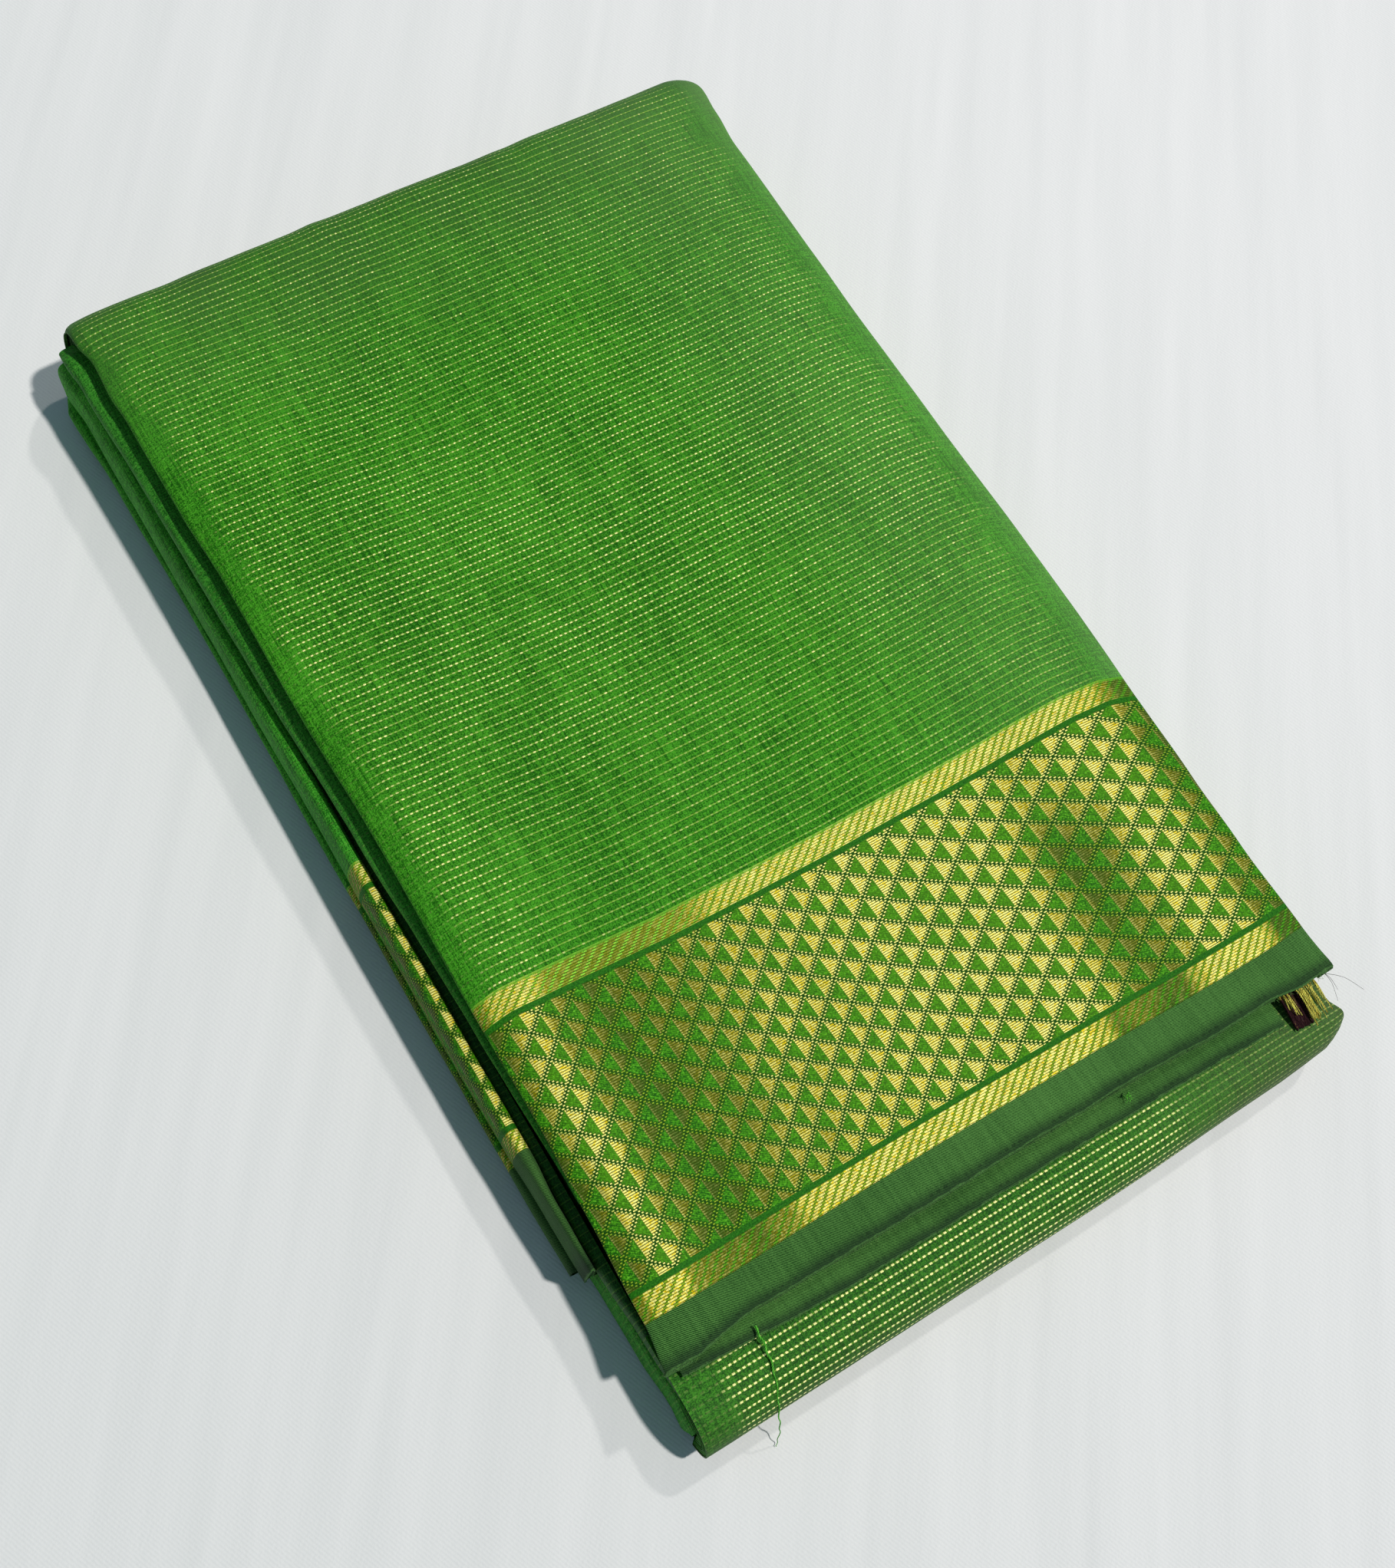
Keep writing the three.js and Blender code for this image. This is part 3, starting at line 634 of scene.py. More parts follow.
def metal_colour(u, v, shine, seed):
    """Gold thread, from olive where it catches no light to lemon gold where it does."""
    dim = mix(shine.ramp(0.0, 0.16), srgb(64, 98, 12), srgb(102, 112, 6))
    gold = mix(shine.ramp(0.05, 0.9), dim, srgb(240, 214, 14))
    satin = blotches(u / 1.2, v / 0.5, seed, 1.0)
    sparkle = blotches(u / 0.55, v / 0.45, seed + 9.0, 1.0)
    lit = (satin * 0.55 + sparkle * 0.45 + shine * 0.22).ramp(0.38, 0.82) * (shine * 0.96 + 0.10)
    return mix(lit, gold, GOLD_GLINT)


def lattice(u, v, shine, slide, lean, dot_shine):
    """Diamonds, half green and half gold, between double lines of gold dots."""
    number = (v / THREAD_ROW).whole()
    stepped = (number + 0.5) * THREAD_ROW
    column = motif_column(u + slide + (v - MOTIF_Y) * lean)
    row = (stepped - MOTIF_Y) / MOTIF_HEIGHT
    rising = (column + row + 0.5).part() - 0.5
    falling = (column - row + 0.5).part() - 0.5
    gold_side = (rising + falling).ramp(-0.012, 0.012)
    # A painted highlight along the vertical edge of each gold half.
    edge = (rising + falling - 0.05).size().ramp(0.07, 0.02) * gold_side
    to_line = rising.size().most(falling.size()).math("MULTIPLY_ADD", -1.0, 0.5)
    on_line = to_line.ramp(0.122, 0.108)
    across_thread = (v / THREAD_ROW).part() - 0.5
    thread = across_thread.size().ramp(0.48, 0.20)
    dots = (to_line - 0.062).size().ramp(0.041, 0.020) * across_thread.size().ramp(0.34, 0.18)
    gold = metal_colour(u, v, shine, 2.0)
    gold = mix(edge * (shine * 0.7 + 0.12), gold, srgb(254, 248, 140))
    gap = mix(shine, srgb(58, 74, 10), srgb(92, 90, 4))
    gold = mix(thread.inverse() * 0.95, gold, gap)
    fleck = blotches(u / 0.5, v / 0.55, 11.0)
    twill = ridge(u * 0.8 + v, 0.62)
    tone = fleck * 0.55 + twill * 0.20 + blotches(u / 3.0, v / 1.2, 12.0) * 0.25
    green = mix(tone.ramp(0.2, 0.8), srgb(14, 80, 4), srgb(74, 158, 18))
    green = mix(fleck.ramp(0.74, 1.0) * 0.7, green, srgb(126, 210, 56))
    # Painted sheen: the green halves turn olive where the gold shines.
    green = mix(shine * 0.35, green, srgb(94, 152, 10))
    colour = mix(gold_side, green, gold)
    base = mix(fleck, srgb(8, 54, 2), srgb(40, 98, 6))
    colour = mix(on_line, colour, base)
    # The dots are painted bright where the gold shines and dull elsewhere.
    dot_luck = chance(number, (u / 0.7).whole()) * 0.30
    dull_dot = mix(dot_luck, srgb(128, 170, 34), srgb(190, 204, 60))
    dot_colour = mix((shine - dot_luck + 0.1).ramp(0.0, 0.75) * dot_shine, dull_dot,
                     srgb(255, 253, 140))
    colour = mix(dots, colour, dot_colour)
    metal = (gold_side * on_line.inverse()).most(dots) * (thread * 0.7 + 0.3)
    height = gold_side * on_line.inverse() * thread * 0.7 + dots * 1.0 + on_line * 0.2
    return colour, metal, height


def rope(u, v, shine, lime):
    """A band of slanting gold columns, with stepped green strokes between them."""
    number = (v / THREAD_ROW).whole()
    stepped = (number + 0.5) * THREAD_ROW
    wander = blotches(u / 9.0, stepped / 9.0, 3.0) * 0.25
    stroke = ((u - stepped * 1.2) / STROKE_PITCH + wander).part()
    gap = (stroke - 0.5).size().ramp(0.31, 0.35)
    across_thread = ((v / THREAD_ROW).part() - 0.5).size()
    thread = across_thread.ramp(0.49, 0.20)
    gold = metal_colour(u, v, shine, 5.0)
    gold = mix(lime * 0.50, gold, srgb(134, 160, 26))
    gap_colour = mix(shine, srgb(54, 80, 8), srgb(112, 104, 6))
    gold = mix(thread.inverse() * 0.90, gold, gap_colour)
    dash = mix(lime, mix(shine, srgb(84, 156, 24), srgb(150, 180, 30)), srgb(158, 222, 64))
    green = mix(across_thread.ramp(0.42, 0.22), srgb(24, 88, 10), dash)
    colour = mix(gap, gold, green)
    return colour, gap.inverse() * (thread * 0.7 + 0.3)


def border_material(name, shine_rows=SHINE_ROWS, rope_rows=(UPPER_ROPE_ROWS, LOWER_ROPE_ROWS),
                    shift=0.0, lime_rows=LIME_ROWS, seed=0.0, slide=0.0, lean=LEAN,
                    dot_shine=1.0):
    """The woven gold border: two rope bands with a lattice of diamonds between them."""
    material, u, v = new_material(name)
    v = v + shift
    # Painted sheen: patchy changes in how brightly the gold catches the light.
    patchy_sheen = blotches(u / 11.0, v / 26.0, seed + 1.0, 3.0) * 0.30 - 0.17
    lift = u.profile(DARK_ZONE_LIFT) * v.ramp(-88.0, -62.0)
    shine = (u.profile(shine_rows) + lift + patchy_sheen).most(0.0).least(1.0)
    colour, metal, height = lattice(u, v, shine, slide, lean, dot_shine)
    upper, lower = (u.profile(rows) for rows in rope_rows)
    rope_shine = mix(v.ramp(-80.0, -100.0), upper, lower)
    rope_shine = (rope_shine + patchy_sheen).most(0.0).least(1.0)
    lime = u.profile(lime_rows) * v.ramp(-70.0, -55.0)
    band_colour, band_metal = rope(u, v, rope_shine, lime)
    in_band = v.ramp(LATTICE_TOP + 1.3, LATTICE_TOP + 1.5).most(
        v.ramp(LATTICE_BOTTOM - 1.3, LATTICE_BOTTOM - 1.5))
    in_line = (v - LATTICE_TOP - 0.7).size().least((v - LATTICE_BOTTOM + 0.7).size()).ramp(0.74, 0.62)
    colour = mix(in_band, colour, band_colour)
    hem = mix(blotches(u / 0.5, v / 0.4, 7.0), srgb(16, 80, 6), srgb(46, 124, 20))
    colour = mix(in_line, colour, hem)
    fringe = (v - BORDER_TOP + 0.35 + ((u / 0.42).part() - 0.5).size() * 1.3).ramp(-0.15, 0.15)
    colour = mix(fringe * 0.75, colour, srgb(96, 176, 44))
    flat = in_line.inverse() * fringe.inverse()
    metal = mix(in_band, metal, band_metal) * flat
    height = height * flat + blotches(u / 0.34, v / 0.34, 4.0, 1.0) * 0.35
    metallic = metal * (shine * 0.09 + 0.06)
    return finished(material, colour, metal * -0.16 + 0.62, height, 0.16, 0.8, metallic, 0.10)


def selvedge_material(name, edge=SELVEDGE_EDGE, fade=5.0, seed=0.0, tint=1.0):
    """Plain dark green twill that darkens towards its edge and ends in light fuzz."""
    material, u, v = new_material(name)
    twill = ridge(u + v, 0.50)
    grain = blotches(u / 0.38, v / 0.38, seed + 1.0, 1.0)
    slub = blotches(u / 0.9, v / 16.0, seed + 2.0)
    patches = blotches(u / 30.0, v / 14.0, seed + 3.0)
    tone = twill * 0.54 + grain * 0.20 + slub * 0.13 + patches * 0.13
    colour = mix(tone.ramp(0.22, 0.78), srgb(16 * tint, 58 * tint, 16 * tint),
                 srgb(90 * tint, 144 * tint, 68 * tint))
    near = (v - edge + blotches(u / 18.0, 0.0, seed + 5.0) * 1.2).ramp(fade, 1.0)
    colour = mix(near * 0.78, colour, srgb(22, 42, 27))
    stitch = ((u / 1.9).part() - 0.5).size().ramp(0.30, 0.22) * (v - edge - 1.5).size().ramp(0.34, 0.20)
    stitch = stitch * blotches(u / 7.0, 0.0, seed + 9.0).ramp(0.35, 0.60)
    colour = mix(stitch * 0.4, colour, srgb(12, 30, 16))
    fuzz = (v - edge + blotches(u / 3.0, 0.0, seed + 6.0) * 0.5).ramp(0.85, 0.35)
    fuzz = fuzz * (blotches(u / 0.7, v / 0.5, seed + 7.0) * 0.8 + 0.2)
    colour = mix(fuzz * 0.60, colour, srgb(98, 152, 76))
    height = twill * 0.7 + grain * 0.5 + fuzz
    return finished(material, colour, 0.66, height, 0.12, 0.8, specular=0.10, sheen=0.06)


def layers_material(name):
    """Edges of many layers, one above the other. v runs down the stack."""
    material, u, v = new_material(name)
    wave = blotches(u / 22.0, v / 6.0, 1.0) * 1.2
    layer = ridge(v + wave, 0.8)
    grain = blotches(u / 0.4, v / 0.3, 2.0, 1.0)
    patches = blotches(u / 24.0, v / 5.0, 3.0)
    tone = layer * 0.5 + grain * 0.25 + patches * 0.25
    # The greens are darker than the saree's own, as painted shade in the gaps where these edges show.
    colour = mix(tone.ramp(0.2, 0.85), srgb(14, 40, 14), srgb(46, 96, 36))
    fibre = blotches(u / 0.8, v / 0.35, 4.0).ramp(0.8, 1.0) * layer
    colour = mix(fibre * 0.5, colour, srgb(112, 160, 84))
    return finished(material, colour, 0.8, layer + grain * 0.4, 0.3)


def zari_end_material(name):
    """The end of the saree: a dark purplish patch with gold threads running off the cloth."""
    material, u, v = new_material(name)
    strand = ridge(u + blotches(u / 2.0, v / 5.0, 1.0) * 1.4, 0.55)
    piece = blotches(u / 0.5, v / 6.0, 2.0)
    gold = strand.ramp(0.55, 0.9) * piece.ramp(0.62, 0.80)
    side = (u - 0.2).size().ramp(1.4, 2.6)
    gold = gold * (side * 0.85 + 0.10)
    colour = mix(blotches(u / 0.4, v / 0.5, 3.0), srgb(26, 14, 20), srgb(62, 34, 36))
    colour = mix(gold, colour, srgb(236, 208, 96))
    return finished(material, colour, 0.5, strand, 0.25, metallic=gold * 0.5)


def strand_material(name, dark, light, metallic=0.0):
    """A single thread, twisted and uneven in colour. v runs along it."""
    material, u, v = new_material(name)
    twist = ridge(v + u * 2.0, 0.6)
    colour = mix((twist * 0.4 + blotches(v / 1.3, u * 3.0, 2.0) * 0.6).ramp(0.2, 0.8), dark, light)
    return finished(material, colour, 0.5, twist, 0.05, metallic=metallic)


def floor_material():
    """A pale cloth under the saree, with a fine weave and soft wrinkles."""
    material, u, v = new_material("pale_floor")
    weave = ridge(u + v * 0.4, 0.9) * 0.5 + blotches(u / 0.8, v / 0.8, 1.0, 1.0) * 0.5
    along = u * 0.6 + v * 0.8
    across = u * 0.8 - v * 0.6
    streaks = blotches(across / 9.0, along / 150.0, 2.0, 3.0)
    # The tone rises towards +X: a painted light falloff, brighter on the lamps' side.
    tone = weave * 0.15 + streaks * 0.20 + (u / 420.0 + 0.45).most(0.0).least(1.0) * 0.65
    colour = mix(tone, srgb(216, 219, 219), srgb(238, 238, 239))
    wrinkles = blotches(across / 22.0, along / 220.0, 5.0)
    return finished(material, colour, 0.9, wrinkles * 5.0 + weave * 0.5, 0.20, 0.5)


# ---- The top flap ----

FLAP_INSIDE = np.array([0.0, 0.0, 12.0])  # a point under the flap's cloth


def flap_height(x, y, crown):
    """Height of the top flap without its creases. crown is how much it falls towards both sides."""
    rise = smooth(SELVEDGE_EDGE, CREST_START, y)
    return lerp(SELVEDGE_HEIGHT, BUNDLE_HEIGHT, rise) - crown * CROWN_DROP * (x / CORE_RIGHT) ** 2


def flap_section(y, crown=1.0):
    """Section of the flap across X, from the end of the left leg over the top to the right leg."""
    row = row_at(FLAP_ROWS, y)
    left, right, roll = row["left"], row["right"], row["roll"]
    left_inner = left + SHOULDER_LEFT
    right_inner = right - SHOULDER_RIGHT
    left_top = flap_height(left_inner, y, crown)
    right_top = flap_height(right_inner, y, crown)
    drop = roll * SHOULDER_DROP
    under = roll - drop
    top = spread(left_inner, right_inner, 112)[1:-1]
    return [
        (CORE_LEFT - GAP, left_top - roll),
        *arc((left + under, left_top - drop), (under, under), 270, 195, 8),
        *arc((left_inner, left_top - drop), (SHOULDER_LEFT, drop), 180, 90, 16),
        *[(x, flap_height(x, y, crown)) for x in top],
        *arc((right_inner, right_top - drop), (SHOULDER_RIGHT, drop), 90, 0, 16),
        *arc((right - under, right_top - drop), (under, under), -15, -90, 8),
        (row["leg"], right_top - roll),
    ]


def along_section(section):
    """Distance along a section of the flap, 0 where X is 0 and rising to the right."""
    lengths = arc_lengths(section)
    xs = [x for x, _ in section]
    middle = slice(25, len(xs) - 25)
    return lengths - np.interp(0.0, xs[middle], lengths[middle])


def weft_place(x, v):
    """Where along Y a weft line lies at a place along X. The lines sag a little between the edges."""
    v_flat = min(v, TOP_FOLD_AXIS)
    sag = at(SAG_ROWS, x)
    return v + (0.9 - sag) * at(SAG_SHARE_ROWS, v_flat) + at(SAG_SHIFT_ROWS, v_flat)


def flap_station(v):
    """Points, cloth places and relief weights of the flap across X at one weft line."""
    section = flap_section(v)
    points = [(x, weft_place(x, v), z) for x, z in section]
    uvs = [(u, v) for u in along_section(section)]
    return points, uvs, 1.0


LEFT_CORNER = 2.5  # how round the fold's corners are, seen from above
RIGHT_CORNER = 8.5


def corner_cut(distance, radius):
    """How far a round corner falls back, at a distance from the end."""
    inward = min(max(1 - distance / radius, 0.0), 1.0)
    return radius * 0.8 * (1 - math.sqrt(1 - inward ** 2 * 0.96))


def fold_station(degrees, leg_y=TOP_FOLD_AXIS):
    """The flap's section carried round the top fold, from 0 on top to 180 underneath."""
    angle = math.radians(degrees)
    crown = (1 + math.cos(angle)) / 2
    section = flap_section(TOP_FOLD_AXIS, crown)
    row = FLAP_ROWS[-1]
    points = []
    for x, z in section:
        height = z - MID_HEIGHT
        near_end = (x - row["left"], LEFT_CORNER) if x < 0 else (row["right"] - x, RIGHT_CORNER)
        depth = MID_HEIGHT - TOP_FOLD_FLATNESS + 0.5 - corner_cut(*near_end)
        depth += at(TOP_SWELL_ROWS, x) * crown
        points.append((x, leg_y + depth * math.sin(angle), MID_HEIGHT + height * math.cos(angle)))
    v = TOP_FOLD_AXIS + angle * (MID_HEIGHT - TOP_FOLD_FLATNESS / 2)
    v += TOP_FOLD_AXIS - leg_y
    uvs = [(u, v) for u in along_section(section)]
    return points, uvs, crown ** 2


def flap_piece(name, stations, material, node, width):
    """A shell from stations, each (points, uvs, weight of the relief)."""
    grid = np.array([points for points, _, _ in stations], float)
    uvs = np.array([places for _, places, _ in stations], float)
    normals = outward_normals(grid, FLAP_INSIDE)
    for j, (_, _, weight) in enumerate(stations):
        for i in range(grid.shape[1]):
            x, y = uvs[j, i]
            inner = smooth(-94, -84, x) * smooth(99, 90, x)
            grid[j, i] += normals[j, i] * relief(x, y) * weight * inner
    parts = [shell_parts(grid, uvs, CLOTH, FLAP_INSIDE)]
    cloth_piece(name, parts, material, [node], width)


def make_flap():
    material = body_material("flap_green_zari", edge_low=-82.5, edge_high=85.0, dull=(90.0, 168.0, 0.85))
    stations = [flap_station(v) for v in spread(BORDER_TOP, TOP_FOLD_AXIS, 104)]
    stations += [fold_station(a) for a in spread(0, 180, 29)[1:]]
    stations += [fold_station(180, y) for y in (146.0, 142.5, UNDER_LEG_END)]
    flap_piece("flap_body_cloth", stations, material, "flap_body", 252)
    stations = [flap_station(v) for v in spread(BORDER_BOTTOM, BORDER_TOP - SEAM_GAP, 44)]
    flap_piece("flap_border_cloth", stations, border_material("flap_gold_border"),
               "flap_border", 80)
    make_flap_selvedge()


def make_flap_selvedge():
    """The plain strip below the border. It thickens to a rounded, slightly lifted edge."""
    shares = [0, 0.12, 0.24, 0.36, 0.48, 0.60, 0.70, 0.80, 0.88, 0.94, 0.98, 1.0, 1.0]
    tucks = [0] * 9 + [0.05, 0.25, 0.75, 1.35]
    start = BORDER_BOTTOM - SEAM_GAP
    stations = []
    for share, tuck in zip(shares, tucks):
        v = lerp(start, SELVEDGE_EDGE, share)
        section = flap_section(v)
        points = []
        for x, z in section:
            top = weft_place(x, start)
            edge = at(TOP_EDGE_ROWS, x) + 0.35 * rough(x, 0, 9, 1.7)
            lift = 0.25 * smooth(0.55, 0.9, share)
            points.append((x, lerp(top, edge, share) + 0.3 * tuck, z + lift - tuck))
        uvs = [(u, v - tuck) for u in along_section(section)]
        stations.append((points, uvs, 1.0 - 0.6 * share))
    material = selvedge_material("flap_selvedge_twill", fade=4.6)
    flap_piece("flap_selvedge_cloth", stations, material, "flap_selvedge", 11)


# ---- The bottom edge ----

def flat_sheet(x_range, count, back, front, z_at, thickness, v_front, seed, steps=7):
    """A thin flat layer with a rounded, wandering front edge. Points run from back to front."""
    rows, places = [], []
    for x in spread(*x_range, count):
        edge = front(x)
        line, cloth = [], []
        for step in range(steps):
            share = step / (steps - 1)
            y = lerp(back, edge, share)
            line.append((x, y, z_at(x, share) + 0.12 * rough(x, y, 7, seed)))
            cloth.append((x, v_front + (y - edge)))
        rows.append(line)
        places.append(cloth)
    return shell_parts(rows, places, thickness, (0.0, -140.0, -50.0))


def make_flap_layers():
    """Edges of the layers under the top flap, each a little uneven."""
    top = SELVEDGE_HEIGHT - CLOTH - 1.3
    floor = BOTTOM_FOLD_HEIGHT + 2 * GAP + 1.4
    count = 6
    parts = []
    for layer in range(count):
        share = layer / (count - 1)
        z = lerp(top, floor + 0.5, share)

        def front(x, layer=layer):
            step = 1.0 - 0.12 * layer
            return at(TOP_EDGE_ROWS, x) + step + 0.45 * rough(x, layer * 9.0, 13, 2.0 + layer)

        def height(x, along, z=z):
            rise = flap_height(x, BOTTOM_FOLD_LEG, 1) - flap_height(x, SELVEDGE_EDGE, 1)
            return z - CROWN_DROP * (x / CORE_RIGHT) ** 2 * 0.8 + rise * (1 - along) * 0.6

        parts.append(flat_sheet((-86.0, 84.0), 90, -133.0, front, height, 0.62,
                                SELVEDGE_EDGE, 4.0 + layer))
    # tint 0.70 paints the layer edges darker, as painted shade under the top flap's edge.
    material = selvedge_material("layer_edges_twill", fade=9.0, seed=5.0, tint=0.70)
    cloth_piece("flap_layer_edges", parts, material, ["flap_layers"], 54)


def make_second_flap():
    """The flap under the top one. Only its plain selvedge shows."""
    top = BOTTOM_FOLD_HEIGHT + GAP + 1.2

    def front(x):
        return at(SECOND_EDGE_ROWS, x) + 0.3 * rough(x, 0, 8, 9.1)

    def height(x, share):
        end = smooth(74, 80, x) * 0.35
        return top + 0.2 * smooth(0.6, 0.9, share) - 0.7 * smooth(0.93, 1.0, share) - end

    part = flat_sheet((-87.4, 79.8), 110, BOTTOM_FOLD_LEG, front, height, 0.7, SELVEDGE_EDGE, 3.0, 16)
    material = selvedge_material("second_selvedge_twill", fade=4.0, seed=9.0, tint=0.98)
    cloth_piece("second_flap_selvedge_cloth", [part], material, ["second_flap_selvedge"],
                13.5)


ROWS_MEET = 16.0  # the weft line that the others close in on at the right end of the bottom fold


def fold_end(x, y, z, left, right):
    """How far the bottom fold's ends stand out past their plain line, to the left or right."""
    clear_of_flap = smooth(17.2, 18.6, z)
    clear_of_inner = smooth(-147.0, -149.0, y) * smooth(12.2, 13.2, z)
    clear_of_lowest = smooth(-154.6, -155.6, y)
    free = max(clear_of_flap, clear_of_inner, clear_of_lowest)
    to_left = -1.7 * free * smooth(left + 6, left, x)
    to_right = (3.0 * smooth(-146.0, -153.5, y) - 0.9) * smooth(3, 13, z) * smooth(right - 10, right, x)
    return to_left + to_right


def fold_grid(inset, left, right, count, seed):
    """A C-shaped fold about the bottom fold's axis, inset from its outer face."""
    centre = BOTTOM_FOLD_HEIGHT / 2
    rows, places = [], []
    for x in spread(left, right, count):
        reach = max(at(BOTTOM_REACH_ROWS, x) - inset * 0.55, 1.0)
        half = centre - inset
        line = [(lerp(BOTTOM_FOLD_LEG, BOTTOM_FOLD_AXIS, k / 8), centre + half) for k in range(8)]
        line += arc((BOTTOM_FOLD_AXIS, centre), (reach, half), 90, 270, 30)
        line += [(lerp(BOTTOM_FOLD_AXIS, BOTTOM_FOLD_LEG, k / 8), centre - half) for k in range(1, 9)]
        lengths = arc_lengths(line)
        row, cloth = [], []
        for (y, z), length in zip(line, lengths):
            wave = 0.22 * rough(x * 0.5, length * 1.4, 9, seed) * smooth(0, 6, z)
            front = smooth(BOTTOM_FOLD_LEG, BOTTOM_FOLD_AXIS - 3, y)
            out = fold_end(x, y, z, left, right)
            row.append((x + out, y - wave * (1 - front), z + wave * (z > 1) * 0.6))
            squeeze = lerp(1.0, 1.3, smooth(30, right, x))
            cloth.append((x, -126.0 - ROWS_MEET - (length - ROWS_MEET) * squeeze))
        rows.append(row)
        places.append(cloth)
    return rows, places


FOLD_INSIDE = (0.0, -140.0, 10.0)  # a point inside the bottom fold


def make_bottom_fold():
    rows, places = fold_grid(0.0, BOTTOM_FOLD_LEFT, BOTTOM_FOLD_RIGHT, 110, 5.5)
    # The bottom fold is painted in shade: a darker ground (shade 0.84), a dull olive towards its lower,
    # turned-away side and a darker olive at its right end.
    material = body_material("bottom_fold_green_zari", edge_low=-80.0, edge_high=44.0, seed=20.0,
                             shade=0.84, dull=(-143.0, -168.0, 1.0), dull_colour=srgb(60, 74, 44),
                             faint=0.45, specular=0.15, right_painted_light=srgb(88, 98, 66),
                             right_painted_light_share=0.34)
    parts = [shell_parts(rows, places, CLOTH, FOLD_INSIDE)]
    cloth_piece("bottom_fold_cloth", parts, material, ["bottom_fold"], 62)
    nested = []
    for layer in range(1, 12):
        inset = 0.72 * layer
        left = BOTTOM_FOLD_LEFT + 0.25 + 0.35 * rough(layer, 0, 1.7, 2.0)
        right = BOTTOM_FOLD_RIGHT - 0.2 + 0.5 * rough(layer, 5, 1.7, 2.0)
        rows, places = fold_grid(inset, left, right, 24, 8.0 + layer)
        nested.append(shell_parts(rows, places, CLOTH, FOLD_INSIDE))
    # The nested layers are painted darker (shade 0.8), as painted shade inside the fold.
    material = body_material("inner_layers_green", zari=0.0, shade=0.8, seed=30.0)
    cloth_piece("bottom_fold_inner_layers", nested, material, [], 300)


# ---- The end of the saree, in the hollow at the right ----

def make_cut_end():
    """The cut end of the cloth, wavy along X and sagging towards its front edge."""
    rows, places = [], []
    base = BOTTOM_FOLD_HEIGHT + GAP + 1.3
    for x in spread(81.8, 94.4, 32):
        row, cloth = [], []
        for share in spread(0, 1, 20):
            front = lerp(-149.4, -140.8, smooth(86.8, 88.6, x)) + 1.2 * rough(x, 0, 1.3, 8.0)
            y = lerp(-133.0, front, share)
            lift = 2.4 * (1 - smooth(0, 1, share)) + 0.4 * math.sin(x * 1.1) * math.sin(math.pi * share)
            dip = -0.5 * smooth(0.75, 1.0, share)
            row.append((x, y, base + lift + dip + 0.15 * rough(x, y, 2.0, 3.0)))
            cloth.append((x - 85.0, y))
        rows.append(row)
        places.append(cloth)
    parts = [shell_parts(rows, places, 0.5, (88.0, -140.0, -50.0))]
    cloth_piece("cut_end_cloth", parts, zari_end_material("zari_end"), ["cut_end"], 12.6)


# ---- Threads ----

def strand_parts(path, radius, tip=0.5, sides=5):
    """A tube along points, thinner towards its end, as (points, faces, uvs)."""
    path = [Vector(p) for p in path]
    points, uvs, faces = [], [], []
    length = 0.0
    for index, point in enumerate(path):
        before = path[max(index - 1, 0)]
        after = path[min(index + 1, len(path) - 1)]
        heading = (after - before).normalized()
        side = heading.cross(Vector((0.1, 0.2, 1.0))).normalized()
        up = side.cross(heading)
        thick = radius * lerp(1.0, tip, index / (len(path) - 1))
        if index:
            length += (point - before).length
        for k in range(sides):
            angle = 2 * math.pi * k / sides
            offset = side * math.cos(angle) + up * math.sin(angle)
            points.append(tuple(point + offset * thick))
            uvs.append((k / sides, length))
    for index in range(len(path) - 1):
        for k in range(sides):
            a = index * sides + k
            b = index * sides + (k + 1) % sides
            faces.append((a, b, b + sides, a + sides))
    last = (len(path) - 1) * sides
    faces.append(tuple(reversed(range(sides))))
    faces.append(tuple(last + k for k in range(sides)))
    return np.array(points), faces, np.array(uvs)


def curve_through(points, steps=8):
    """A smooth line through a few points."""
    padded = [points[0], *points, points[-1]]
    line = []
    for a, b, c, d in zip(padded, padded[1:], padded[2:], padded[3:]):
        a, b, c, d = (np.asarray(p, float) for p in (a, b, c, d))
        for step in range(steps):
            t = step / steps
            line.append(0.5 * (2 * b + (c - a) * t + (2 * a - 5 * b + 4 * c - d) * t ** 2
                               + (3 * b - a - 3 * c + d) * t ** 3))
    line.append(np.asarray(points[-1], float))
    return line


def place_threads(name, parts, material):
    """A piece made of single strands."""
    piece = joined_object(name, parts, material)
    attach(piece, "root")


def make_loose_thread():
    """A green thread that hangs from the second selvedge over the bottom fold."""
    route = [
        (-68.6, -142.4, 22.6), (-68.6, -145.2, 22.0), (-68.7, -148.6, 20.5), (-69.4, -152.4, 19.5),
        (-70.7, -156.8, 17.0), (-71.7, -160.2, 12.4), (-72.0, -162.2, 8.4), (-72.3, -163.7, 4.6),
        (-73.2, -165.0, 1.2), (-73.7, -165.7, 0.6),
    ]
    route = [Vector(p) for p in curve_through(route)]
    for index, point in enumerate(route):
        point.x += 0.18 * math.sin(index * 0.7)
    material = strand_material("green_thread", srgb(40, 120, 24), srgb(110, 206, 70))
    place_threads("loose_green_thread", [strand_parts(route, 0.30, 0.25)], material)


